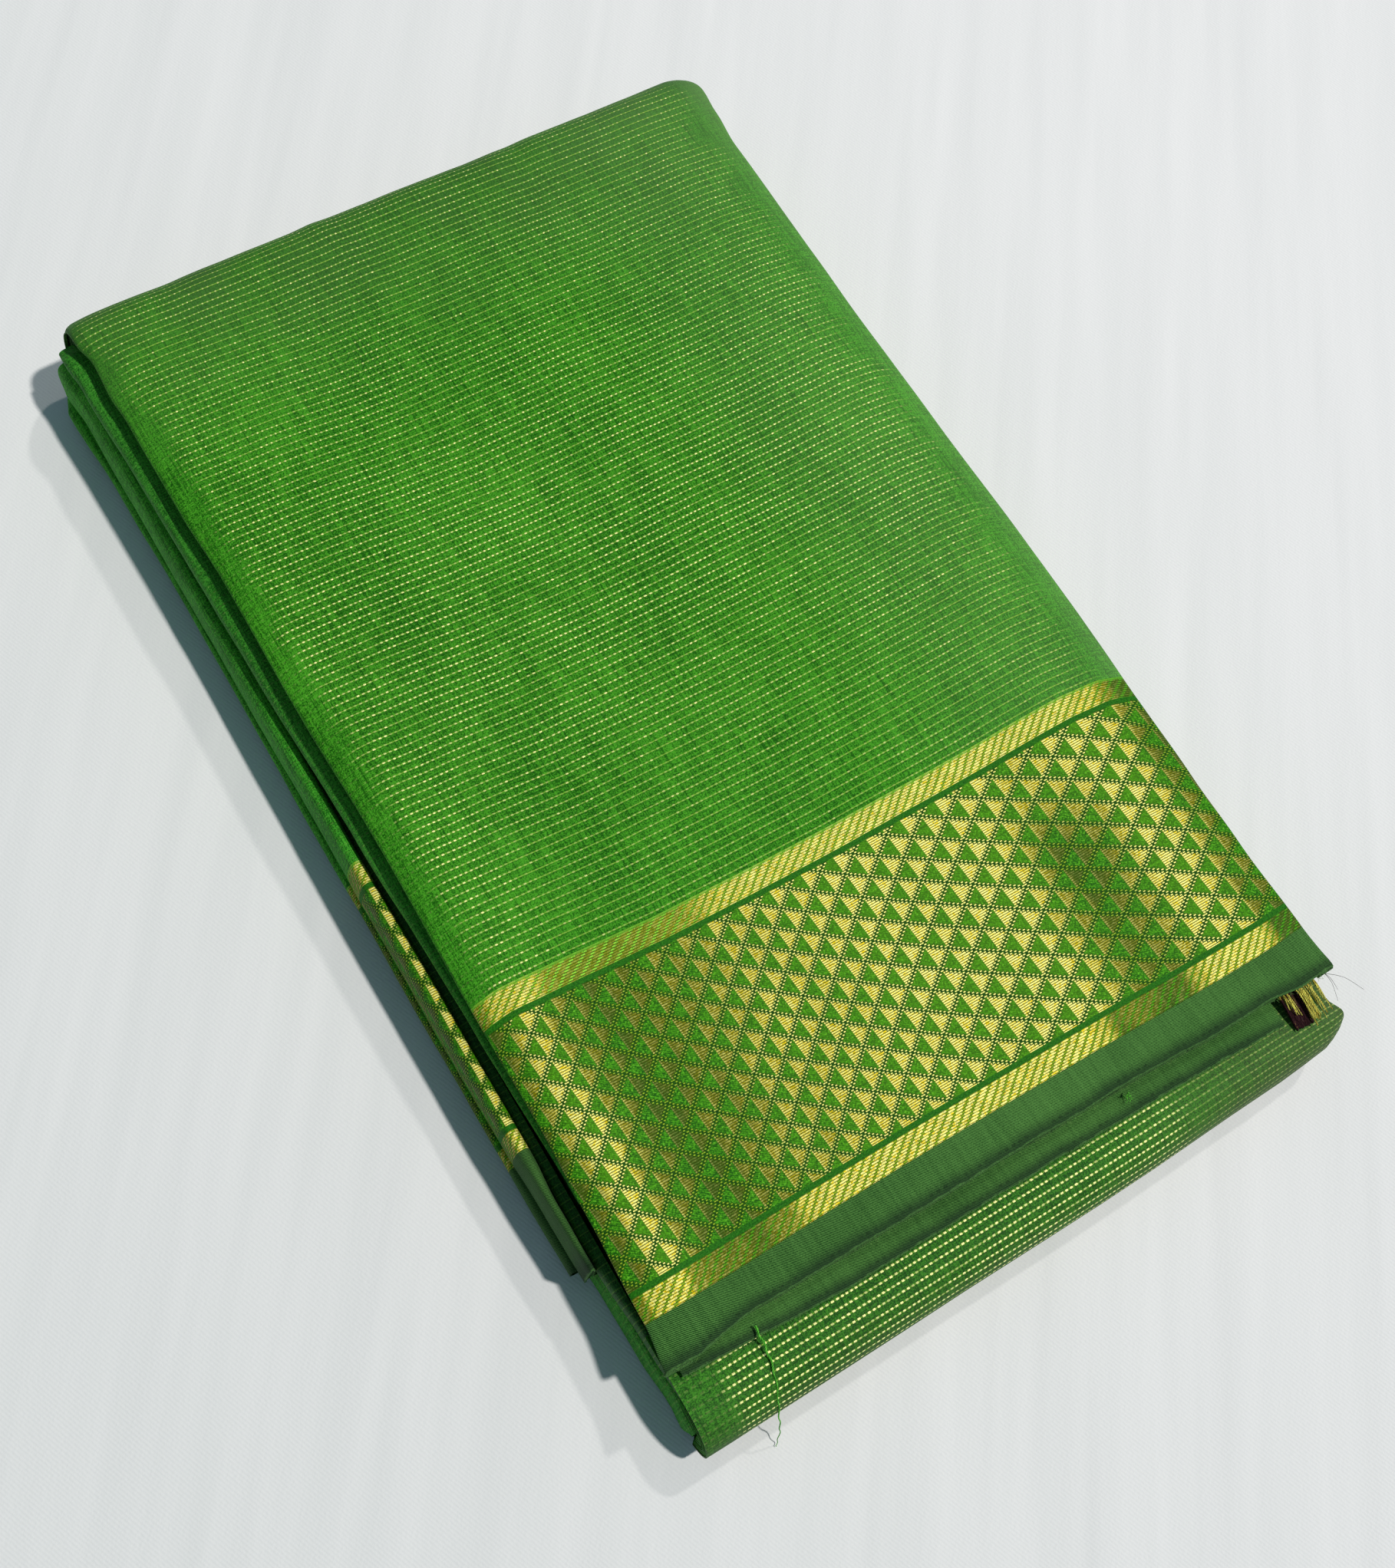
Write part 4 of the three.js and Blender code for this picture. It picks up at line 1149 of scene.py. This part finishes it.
def make_zari_tuft():
    """Gold threads that run off the end of the saree, and a few fine dark ones."""
    chooser = random.Random(11)
    gold, dark = [], []
    for number in range(44):
        on_left = number < 9
        x = chooser.uniform(82.2, 83.6) if on_left else 86.0 + 5.6 * chooser.random() ** 1.8
        reach = chooser.uniform(6.0, 9.5) if on_left else chooser.uniform(5.0, 13.5)
        drift = chooser.uniform(0.2, 1.6)
        start = (x, -137.5 + chooser.uniform(-1.5, 1), 23.1 + chooser.uniform(0, 1.0))
        bend = (x + drift * 0.5, -137.5 - reach * 0.5, 22.8 + chooser.uniform(0, 0.9))
        end = (x + drift, -137.5 - reach, 20.9 + chooser.uniform(-0.3, 1.4))
        gold.append(strand_parts(curve_through([start, bend, end], 4), chooser.uniform(0.12, 0.22), 0.8, 4))
    for end, rise in (
        ((105.4, -149.0, 16.0), 21.6),
        ((97.0, -146.0, 20.6), 23.2),
        ((95.8, -148.2, 19.6), 23.4),
    ):
        start = (94.6, -141.4, 24.2)
        bend = (lerp(94.6, end[0], 0.48), lerp(-141.4, end[1], 0.40), rise)
        dark.append(strand_parts(curve_through([start, bend, end], 6), 0.07, 0.6, 4))
    place_threads("zari_tuft_threads", gold, strand_material(
        "gold_thread", srgb(116, 92, 8), srgb(255, 250, 120), 0.15))
    place_threads("fine_dark_threads", dark, strand_material(
        "dark_thread", srgb(40, 34, 34), srgb(96, 92, 92)))


def make_edge_fuzz():
    """Short light fibres along the two selvedge edges, and a tuft of lint."""
    chooser = random.Random(5)
    fibres = []
    for rows, x_range, z, count in (
        (TOP_EDGE_ROWS, (-90, 95), 26.4, 170),
        (SECOND_EDGE_ROWS, (-86, 79), 21.2, 150),
    ):
        for _ in range(count):
            x = chooser.uniform(*x_range)
            y = at(rows, x) + 0.2
            drop = CROWN_DROP * (x / CORE_RIGHT) ** 2 * (z > 24)
            reach = chooser.uniform(0.4, 1.3)
            lean = chooser.uniform(-1.2, 1.2)
            base = z - drop + chooser.uniform(-0.6, 0.3)
            tip = (x + lean, y - reach, base + chooser.uniform(-0.5, 0.7))
            middle = (x + lean * 0.3, y - reach * 0.6, base + 0.25)
            fibres.append(strand_parts([(x, y, base), middle, tip], 0.055, 0.5, 3))
    lint = []
    for _ in range(9):
        centre = Vector((34.8, -142.2, 22.6))
        jump = [Vector([chooser.uniform(-1.3, 1.3) for _ in range(3)]) for _ in range(3)]
        lint.append(strand_parts([centre + j * 0.8 for j in jump], 0.10, 0.6, 4))
    place_threads("selvedge_fuzz", fibres, strand_material(
        "fuzz_green", srgb(70, 120, 56), srgb(140, 188, 104)))
    place_threads("green_lint", lint, strand_material(
        "lint_green", srgb(70, 170, 40), srgb(130, 226, 90)))


# ---- Rolls at the left and right ----

FLAP_LEG = CORE_LEFT - GAP
TERRACE_LEG = TERRACE_LEFT - GAP

# A roll's outermost reach, its bottom and top, where it ends inside (leg), and how high its widest line
# is as a share of its height (belly). inner is the near side of the third roll's crest.
SECOND_ROLL_ROWS = table(
    "y outer bottom top belly leg",
    (-100, -88.2, 19.9, 22.5, 0.5),
    (-50, -89.6, 21.6, 25.4, 0.5),
    (0, -91, 21, 26.3, 0.45),
    (50, -92.2, 20.1, 26.3, 0.4),
    (100, -92.9, 20.1, 26.3, 0.4),
    (142, -93.8, 20.1, 26.3, 0.4),
    (149.5, -94.6, 20.1, 26.3, 0.4),
    (154, -94.4, 20.7, 24, 0.4, -89.5),
    leg=FLAP_LEG,
)
THIRD_ROLL_ROWS = table(
    "y outer bottom top inner leg belly",
    (-114, -93.8, 8.6, 19.8, -91.6),
    (-97, -94.6, 8.5, 20.4, -91.7),
    (-82, -95.2, 8.4, 20.6, -90.9),
    (-40, -95.5, 8.2, 20.8, -90.6),
    (0, -95.4, 8.2, 20.6, -91),
    (60, -95.3, 8.2, 19.6, -89.5),
    (140, -95.4, 8.2, 19.5, -87),
    (149.5, -96.2, 8.2, 19.5, -87),
    (154.4, -95.8, 10.4, 18, -90, -89.5, 0.4),
    leg=FLAP_LEG, belly=0.3,
)
LOWER_THIRD_ROWS = table(
    "y outer bottom top",
    (-110.5, -95.5, 3, 8),
    (-90, -95.9, 3, 7.9),
    (0, -96, 3, 7.8),
    (80, -95.7, 3, 7.8),
    (120, -96.1, 3, 7.8),
    (148, -97.3, 3, 7.8),
    (152, -95.8, 3.4, 7.2),
    leg=-92.9, belly=0.5,
)
INNER_ROLL_ROWS = table(
    "y outer bottom top",
    (-146.5, -89.1, 12.3, 17.2),
    (-135, -89.9, 12.3, 17.5),
    (-112, -91.3, 12.3, 17.6),
    (139, -91, 12.3, 17.6),
    leg=TERRACE_LEG, belly=0.5,
)
LOWEST_ROLL_ROWS = table(
    "y outer bottom top belly",
    (-154.5, -89.6, 3.4, 8.6, 0.45),
    (-151.5, -90.5, 0.6, 11, 0.4),
    (-146, -90, 0, 12, 0.4),
    (-134, -91, 0, 12, 0.4),
    (-120, -91.2, 0, 12, 0.4),
    (-100, -92.3, 0, 12, 0.4),
    (139, -92.3, 0, 12, 0.4),
    leg=TERRACE_LEG,
)


STUFFED = 0.72  # the fullness of a roll


def roll_line(row, side, inset=0.0):
    """A C-shaped section from its top leg round its outermost line to its bottom leg."""
    middle = lerp(row["bottom"], row["top"], row["belly"])
    depth = max(abs(row["outer"] - row["leg"]) - inset, 0.3)
    rise = max(row["top"] - middle - inset, 0.2)
    fall = max(middle - row["bottom"] - inset, 0.2)
    upper = arc((row["leg"], middle), (side * depth, rise), 90, 0, 15, STUFFED)
    lower = arc((row["leg"], middle), (side * depth, fall), 0, -90, 11, STUFFED)[1:]
    return upper + lower


def third_line(row, side, inset=0.0):
    """The third roll's section: a dark groove, a rounded crest over it and a free hem."""
    hem_x = -92.8
    middle = lerp(row["bottom"], row["top"], row["belly"])
    crest = lerp(row["inner"], row["outer"], 0.42)
    rise = row["top"] - middle - inset
    floor = [(lerp(row["leg"], row["inner"] - inset, k / 4), middle - 0.6) for k in range(4)]
    inner = arc((crest, middle), (max(row["inner"] - crest - inset, 0.25), rise), 0, 90, 10, STUFFED)
    outer = arc((crest, middle), (row["outer"] - crest + inset, rise), 90, 0, 18, STUFFED)[1:]
    hem = arc((hem_x - 1.2, middle), (row["outer"] - hem_x + 1.2 + inset, middle - row["bottom"]),
              0, -80, 7)[1:]
    return floor + inner + outer + hem


THIRD_CREST = 13  # the place of the crest among the third roll's points


def roll_grid(rows, ys, line_of, side, inset, seed):
    """Outer points and cloth places of a roll, with a slight wander along its length.

    The cloth's u is 90 where a roll starts, or on the third roll's crest, and grows outwards.
    """
    grid, places = [], []
    for y in ys:
        line = line_of(row_at(rows, y), side, inset)
        lengths = arc_lengths(line)
        start = lengths[THIRD_CREST] if line_of is third_line else 0.0
        wander = 0.20 * rough(0, y, 26, seed) + 0.08 * rough(0, y, 7, seed + 1)
        points = []
        for (x, z), length in zip(line, lengths):
            out = smooth(0.0, 3.0, length)
            dent = 0.16 * rough(length * 2.2, y * 0.5, 8, seed + 2)
            shift = side * out * min(wander + dent, 0.3)
            points.append((x + shift, y, max(z, 0.0)))
        grid.append(points)
        places.append([(side * (90.0 + length - start), y) for length in lengths])
    return grid, places


def make_roll(name, rows, ys, material, nodes, line_of=roll_line, side=-1, seed=0.0,
              layers=3):
    """A roll of the open side: the outer cloth and the layers that it wraps."""
    parts = []
    inside = np.array([CORE_LEFT if side < 0 else CORE_RIGHT, 0.0, 12.0])
    for layer in range(layers):
        short = 0.0 if layer == 0 else 0.25 + 0.5 * abs(rough(layer, 0, 0.7, seed))
        inner_ys = [min(max(y, ys[0] + short), ys[-1] - short) for y in ys]
        grid, places = roll_grid(rows, inner_ys, line_of, side, 0.75 * layer, seed)
        inside[2] = np.array(grid)[:, :, 2].mean()
        parts.append(shell_parts(grid, places, CLOTH, inside))
    cloth_piece(name, parts, material, nodes, ys[-1] - ys[0])


ROLL_BORDER_TOP = -4.0  # where the border starts on the third roll
ROLL_BORDER_BOTTOM = -83.0
ROLL_MOTIF_SLIDE = 4.1  # puts the diamonds' centres just outside of the third roll's crest
LEFT_SHINE_ROWS = [
    (-112, 0.04), (-103, 0.06), (-99, 0.12), (-96.5, 0.02), (-91.5, 0.02), (-90.3, 0.9),
    (-88.2, 1.0), (-84, 0.5),
]
LEFT_ROPE_ROWS = [(-112, 0.2), (-98, 0.15), (-92, 0.3), (-90, 1.0), (-84, 0.8)]


def make_second_roll():
    material = body_material("roll_green", zari=0.06, seed=40.0, shade=1.0, specular=0.1, cool=0.8)
    make_roll("second_roll_cloth", SECOND_ROLL_ROWS, [*spread(-100, 149.5, 90), 151, 152.6, 154],
              material, ["second_roll"], seed=1.0, layers=2)


def third_roll_looks():
    """Material and slot of the third roll's body, border and hem."""
    # The third roll's green is painted lighter (shade 1.14), as painted light on the lit roll.
    lit = body_material("third_roll_green", zari=0.05, shade=1.14, seed=44.0, specular=0.08, cool=0.6)
    gold = border_material(
        "third_roll_gold_border", LEFT_SHINE_ROWS, (LEFT_ROPE_ROWS, LEFT_ROPE_ROWS),
        shift=BORDER_TOP - ROLL_BORDER_TOP, lime_rows=[(-120, 0.3), (-80, 0.2)], seed=3.0,
        slide=ROLL_MOTIF_SLIDE, lean=0.0, dot_shine=0.25)
    hem = selvedge_material("third_roll_twill", edge=-114.0, fade=9.0, seed=7.0, tint=0.84)
    return (lit, "green"), (gold, "gold_border"), (hem, "selvedge")


def make_third_roll():
    """The third roll and the thin one that peeps out under it, each as body, border and hem."""
    lit, gold, hem = third_roll_looks()
    body_start = ROLL_BORDER_TOP + SEAM_GAP
    hem_end = ROLL_BORDER_BOTTOM - SEAM_GAP
    border = spread(ROLL_BORDER_BOTTOM, ROLL_BORDER_TOP, 44)
    upper = (
        ("body_cloth", ["third_roll_body"], [*spread(body_start, 149.5, 66), 151, 152.6, 154.4], lit),
        ("border_cloth", ["third_roll_border"], border, gold),
        ("selvedge_cloth", ["third_roll_selvedge"], spread(-114, hem_end, 24), hem),
    )
    lower = (
        ("lower_cloth", ["third_roll_lower"], [*spread(body_start, 148, 60), 150, 152], lit),
        ("lower_border", [], border, gold),
        ("lower_hem", [], spread(-110.5, hem_end, 22), hem),
    )
    for stretches, rows, line_of, seed in (
        (upper, THIRD_ROLL_ROWS, third_line, 2.0),
        (lower, LOWER_THIRD_ROWS, roll_line, 3.0),
    ):
        for name, nodes, ys, (material, slot) in stretches:
            make_roll("third_roll_" + name, rows, ys, material, nodes, line_of, seed=seed)


def make_low_rolls():
    """The roll above the lowest one, and the lowest one."""
    # The inner roll is painted darker (shade 0.72), as painted shade under the flap's edge, with few
    # painted glints on its dots.
    inner = body_material("inner_roll_green_zari", zari=0.35, glints=0.10, shade=0.72, seed=50.0,
                          specular=0.25, cool=1.0)
    make_roll("inner_roll_cloth", INNER_ROLL_ROWS, spread(-146.5, 139, 96),
              inner, ["inner_roll"], seed=4.0)
    lowest = body_material("lowest_roll_green", zari=0.06, shade=1.0, seed=54.0, specular=0.1, cool=0.8)
    ys = [-154.5, -153.4, -152.4, -151.5, *spread(-150, 139, 96)]
    make_roll("lowest_roll_cloth", LOWEST_ROLL_ROWS, ys, lowest, ["lowest_roll"], seed=5.0)


RIGHT_ROLLS = table(
    "name reach level pressed",
    ("right_roll_upper", 95.6, 2, 1),
    ("right_roll_middle", 96.3, 1, 0),
    ("right_roll_lower", 95.9, 0, 0),
)
UNDER_ROLL = 6.0
RIGHT_ROLL_HEIGHT = 6.4


def right_roll_rows(reach, level, pressed):
    """Rows of a closed fold at the right. The flap presses the upper one down near the border."""
    bottom = UNDER_ROLL + GAP + level * (RIGHT_ROLL_HEIGHT + GAP)
    top = bottom + RIGHT_ROLL_HEIGHT
    leg = CORE_RIGHT + GAP
    places = [
        (-131.6, -0.8, 3.7), (-104.0, -0.8, 3.7), (-51.0, -0.3, 1.4), (-15.0, 0.0, 0.0),
        (40.0, 0.3, 0.0), (110.0, -0.4, 0.0), (149.6, 0.0, 0.0),
    ]
    return [dict(y=y, outer=reach + out, bottom=bottom, top=top - pressed * press, leg=leg, belly=0.5)
            for y, out, press in places]


def make_right_rolls():
    for index, roll in enumerate(RIGHT_ROLLS):
        material = body_material(roll["name"] + "_green_zari", zari=0.6, seed=60.0 + index,
                                 specular=0.3, cool=0.6)
        rows = right_roll_rows(roll["reach"], roll["level"], roll["pressed"])
        make_roll(roll["name"] + "_cloth", rows, spread(-131.6, 149.6, 100), material,
                  [roll["name"]], side=1, seed=20.0 + index, layers=2)


# ---- The underside and the hidden layers ----

def make_under_panel():
    """The outermost cloth underneath, flat on the floor and rolled up at the right."""
    right = 95.3
    drop = UNDER_ROLL * SHOULDER_DROP
    over = UNDER_ROLL - drop
    line = [(x, 0.0) for x in spread(TERRACE_LEFT, right - SHOULDER_RIGHT, 60)[:-1]]
    line += arc((right - SHOULDER_RIGHT, drop), (SHOULDER_RIGHT, drop), -90, 0, 14)
    line += arc((right - over, drop), (over, over), 15, 90, 7)
    line += [(CORE_RIGHT + GAP, UNDER_ROLL)]
    lengths = arc_lengths(line)
    rows, places = [], []
    for y in spread(BOTTOM_FOLD_LEG + GAP, UNDER_LEG_END - GAP, 80):
        rows.append([(x, y, z + 0.35 * max(0.0, rough(x * 0.6, y * 0.3, 18, 6.0)) * (z < 0.01))
                     for x, z in line])
        places.append([(TERRACE_LEFT + length, -180.0 - y) for length in lengths])
    material = body_material("under_panel_green_zari", seed=70.0)
    parts = [shell_parts(rows, places, CLOTH, (0.0, 0.0, 20.0))]
    cloth_piece("under_panel_cloth", parts, material, ["under_panel"],
                UNDER_LEG_END - BOTTOM_FOLD_LEG - 2 * GAP)


FOLD_FILL_END = 158.0  # how far the hidden layers reach into the top fold
FOLD_FILL_ROUND = 10.0  # how round they are there
CORE_ROOM = 1.7  # between the hidden layers and the bundle's top and underside
LAYER_EDGES = 26  # how many edges show at a side, one above the other


def core_outline(y):
    """The hidden layers' section across X: stacked layer edges at both sides.

    Past the rolls the layers reach out to the ends of the top fold and close in with its curve.
    """
    in_fold = y > UNDER_LEG_END
    curve = math.sqrt(1 - (max(y - TOP_FOLD_AXIS, 0.0) / FOLD_FILL_ROUND) ** 2)
    top = flap_height(0, min(y, TOP_FOLD_AXIS), 1) - CORE_ROOM
    left_side, right_side = [], []
    for k in range(LAYER_EDGES * 2 + 1):
        z = lerp(CORE_ROOM, top - 2.2, k / (LAYER_EDGES * 2))
        notch = 0.35 if k % 2 else 0.0
        wave = 0.2 * rough(y * 0.5, z * 3, 9, 2.0)
        reach_left = CORE_LEFT if z > 18 and not in_fold else TERRACE_LEFT + 0.6
        reach_left -= 2.6 * smooth(148.0, 152.5, y) * smooth(29.5, 27.5, z) * smooth(4.0, 7.0, z)
        reach_right = CORE_RIGHT + (2.5 if in_fold else 0.0)
        left_side.append((reach_left + notch + wave + 0.2, z))
        right_side.append((reach_right - notch + wave - 0.2, z))
    crest = [(x, flap_height(x, y, 1) - CORE_ROOM - 1.6 * smooth(62, 88, abs(x)))
             for x in spread(-74, 76, 24)]
    outline = left_side + crest + right_side[::-1]
    return [(x, MID_HEIGHT + (z - MID_HEIGHT) * curve) for x, z in outline]


def make_hidden_layers():
    """The layers that nothing shows of, with their edges one above the other at the sides."""
    loops, places = [], []
    for y in [*spread(-131.0, 138.8, 60), *spread(140.0, 150.0, 5), *spread(151.0, FOLD_FILL_END - 0.4, 8)]:
        outline = core_outline(y)
        loops.append([(x, y, z) for x, z in outline])
        places.append([(y, z) for _, z in outline])
    points = np.array(loops, float).reshape(-1, 3)
    uvs = np.array(places, float).reshape(-1, 2)
    count = len(loops[0])
    faces = []
    for j in range(len(loops) - 1):
        for i in range(count):
            a, b = j * count + i, j * count + (i + 1) % count
            faces.append((a, a + count, b + count, b))
    faces.append(tuple(range(count)))
    faces.append(tuple((len(loops) - 1) * count + k for k in reversed(range(count))))
    piece = mesh_object("hidden_layers_cloth", points, faces, uvs, layers_material("hidden_layer_edges"))
    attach(piece, "root")
    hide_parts("hidden_layers")


# ---- Floor, light and camera ----

def make_floor():
    half, level = 1500.0, -0.05
    places = [(-half, -half), (half, -half), (half, half), (-half, half)]
    corners = [(x, y, level) for x, y in places]
    floor = mesh_object("pale_floor", corners, [(0, 1, 2, 3)], places, floor_material())


def make_lights():
    sky = bpy.data.worlds.new("soft_room")
    bpy.context.scene.world = sky
    sky.use_nodes = True
    background = sky.node_tree.nodes["Background"]
    background.inputs["Color"].default_value = (0.56, 0.85, 1.0, 1.0)
    background.inputs["Strength"].default_value = 0.20
    for name, toward, strength, angle in (
        ("key", (-0.36, 0.35, -1.0), 2.52, 3.0),
        ("second_lamp", (-0.66, -0.27, -1.0), 0.55, 2.5),
    ):
        sun = bpy.data.objects.new(name, bpy.data.lights.new(name, "SUN"))
        sun.data.energy = strength
        sun.data.color = (1.0, 0.95, 0.91)
        sun.data.angle = math.radians(angle)
        bpy.context.scene.collection.objects.link(sun)
        sun.rotation_mode = "QUATERNION"
        sun.rotation_quaternion = Vector(toward).to_track_quat("-Z", "Y")


FOCAL_PIXELS = 2784.26  # the fitted focal length, in the photograph's pixels
PHOTO_HEIGHT = 2044  # in pixels
SENSOR = 36.0  # in millimetres


def make_camera():
    """The photograph's view, from its fitted place, turn and focal length."""
    camera = bpy.data.objects.new("camera", bpy.data.cameras.new("camera"))
    bpy.context.scene.collection.objects.link(camera)
    right = Vector((0.84843, -0.51665, 0.11502))
    down = Vector((-0.43616, -0.80554, -0.40110))
    forward = Vector((0.29988, 0.29014, -0.90879))
    turn = Matrix((right, -down, -forward)).transposed()
    camera.matrix_world = Matrix.Translation(Vector((-0.167197, -0.175833, 0.491470))) @ turn.to_4x4()
    camera.data.sensor_width = SENSOR
    camera.data.lens = FOCAL_PIXELS / PHOTO_HEIGHT * SENSOR
    camera.data.clip_start = 0.01
    bpy.context.scene.camera = camera


make_camera()
make_lights()
make_floor()
make_hidden_layers()
make_bottom_fold()
make_second_flap()
make_flap_layers()
make_flap()
make_cut_end()
make_second_roll()
make_third_roll()
make_low_rolls()
make_right_rolls()
make_under_panel()
make_loose_thread()
make_zari_tuft()
make_edge_fuzz()
bpy.context.scene.view_settings.view_transform = "Standard"

bpy.context.view_layer.update()
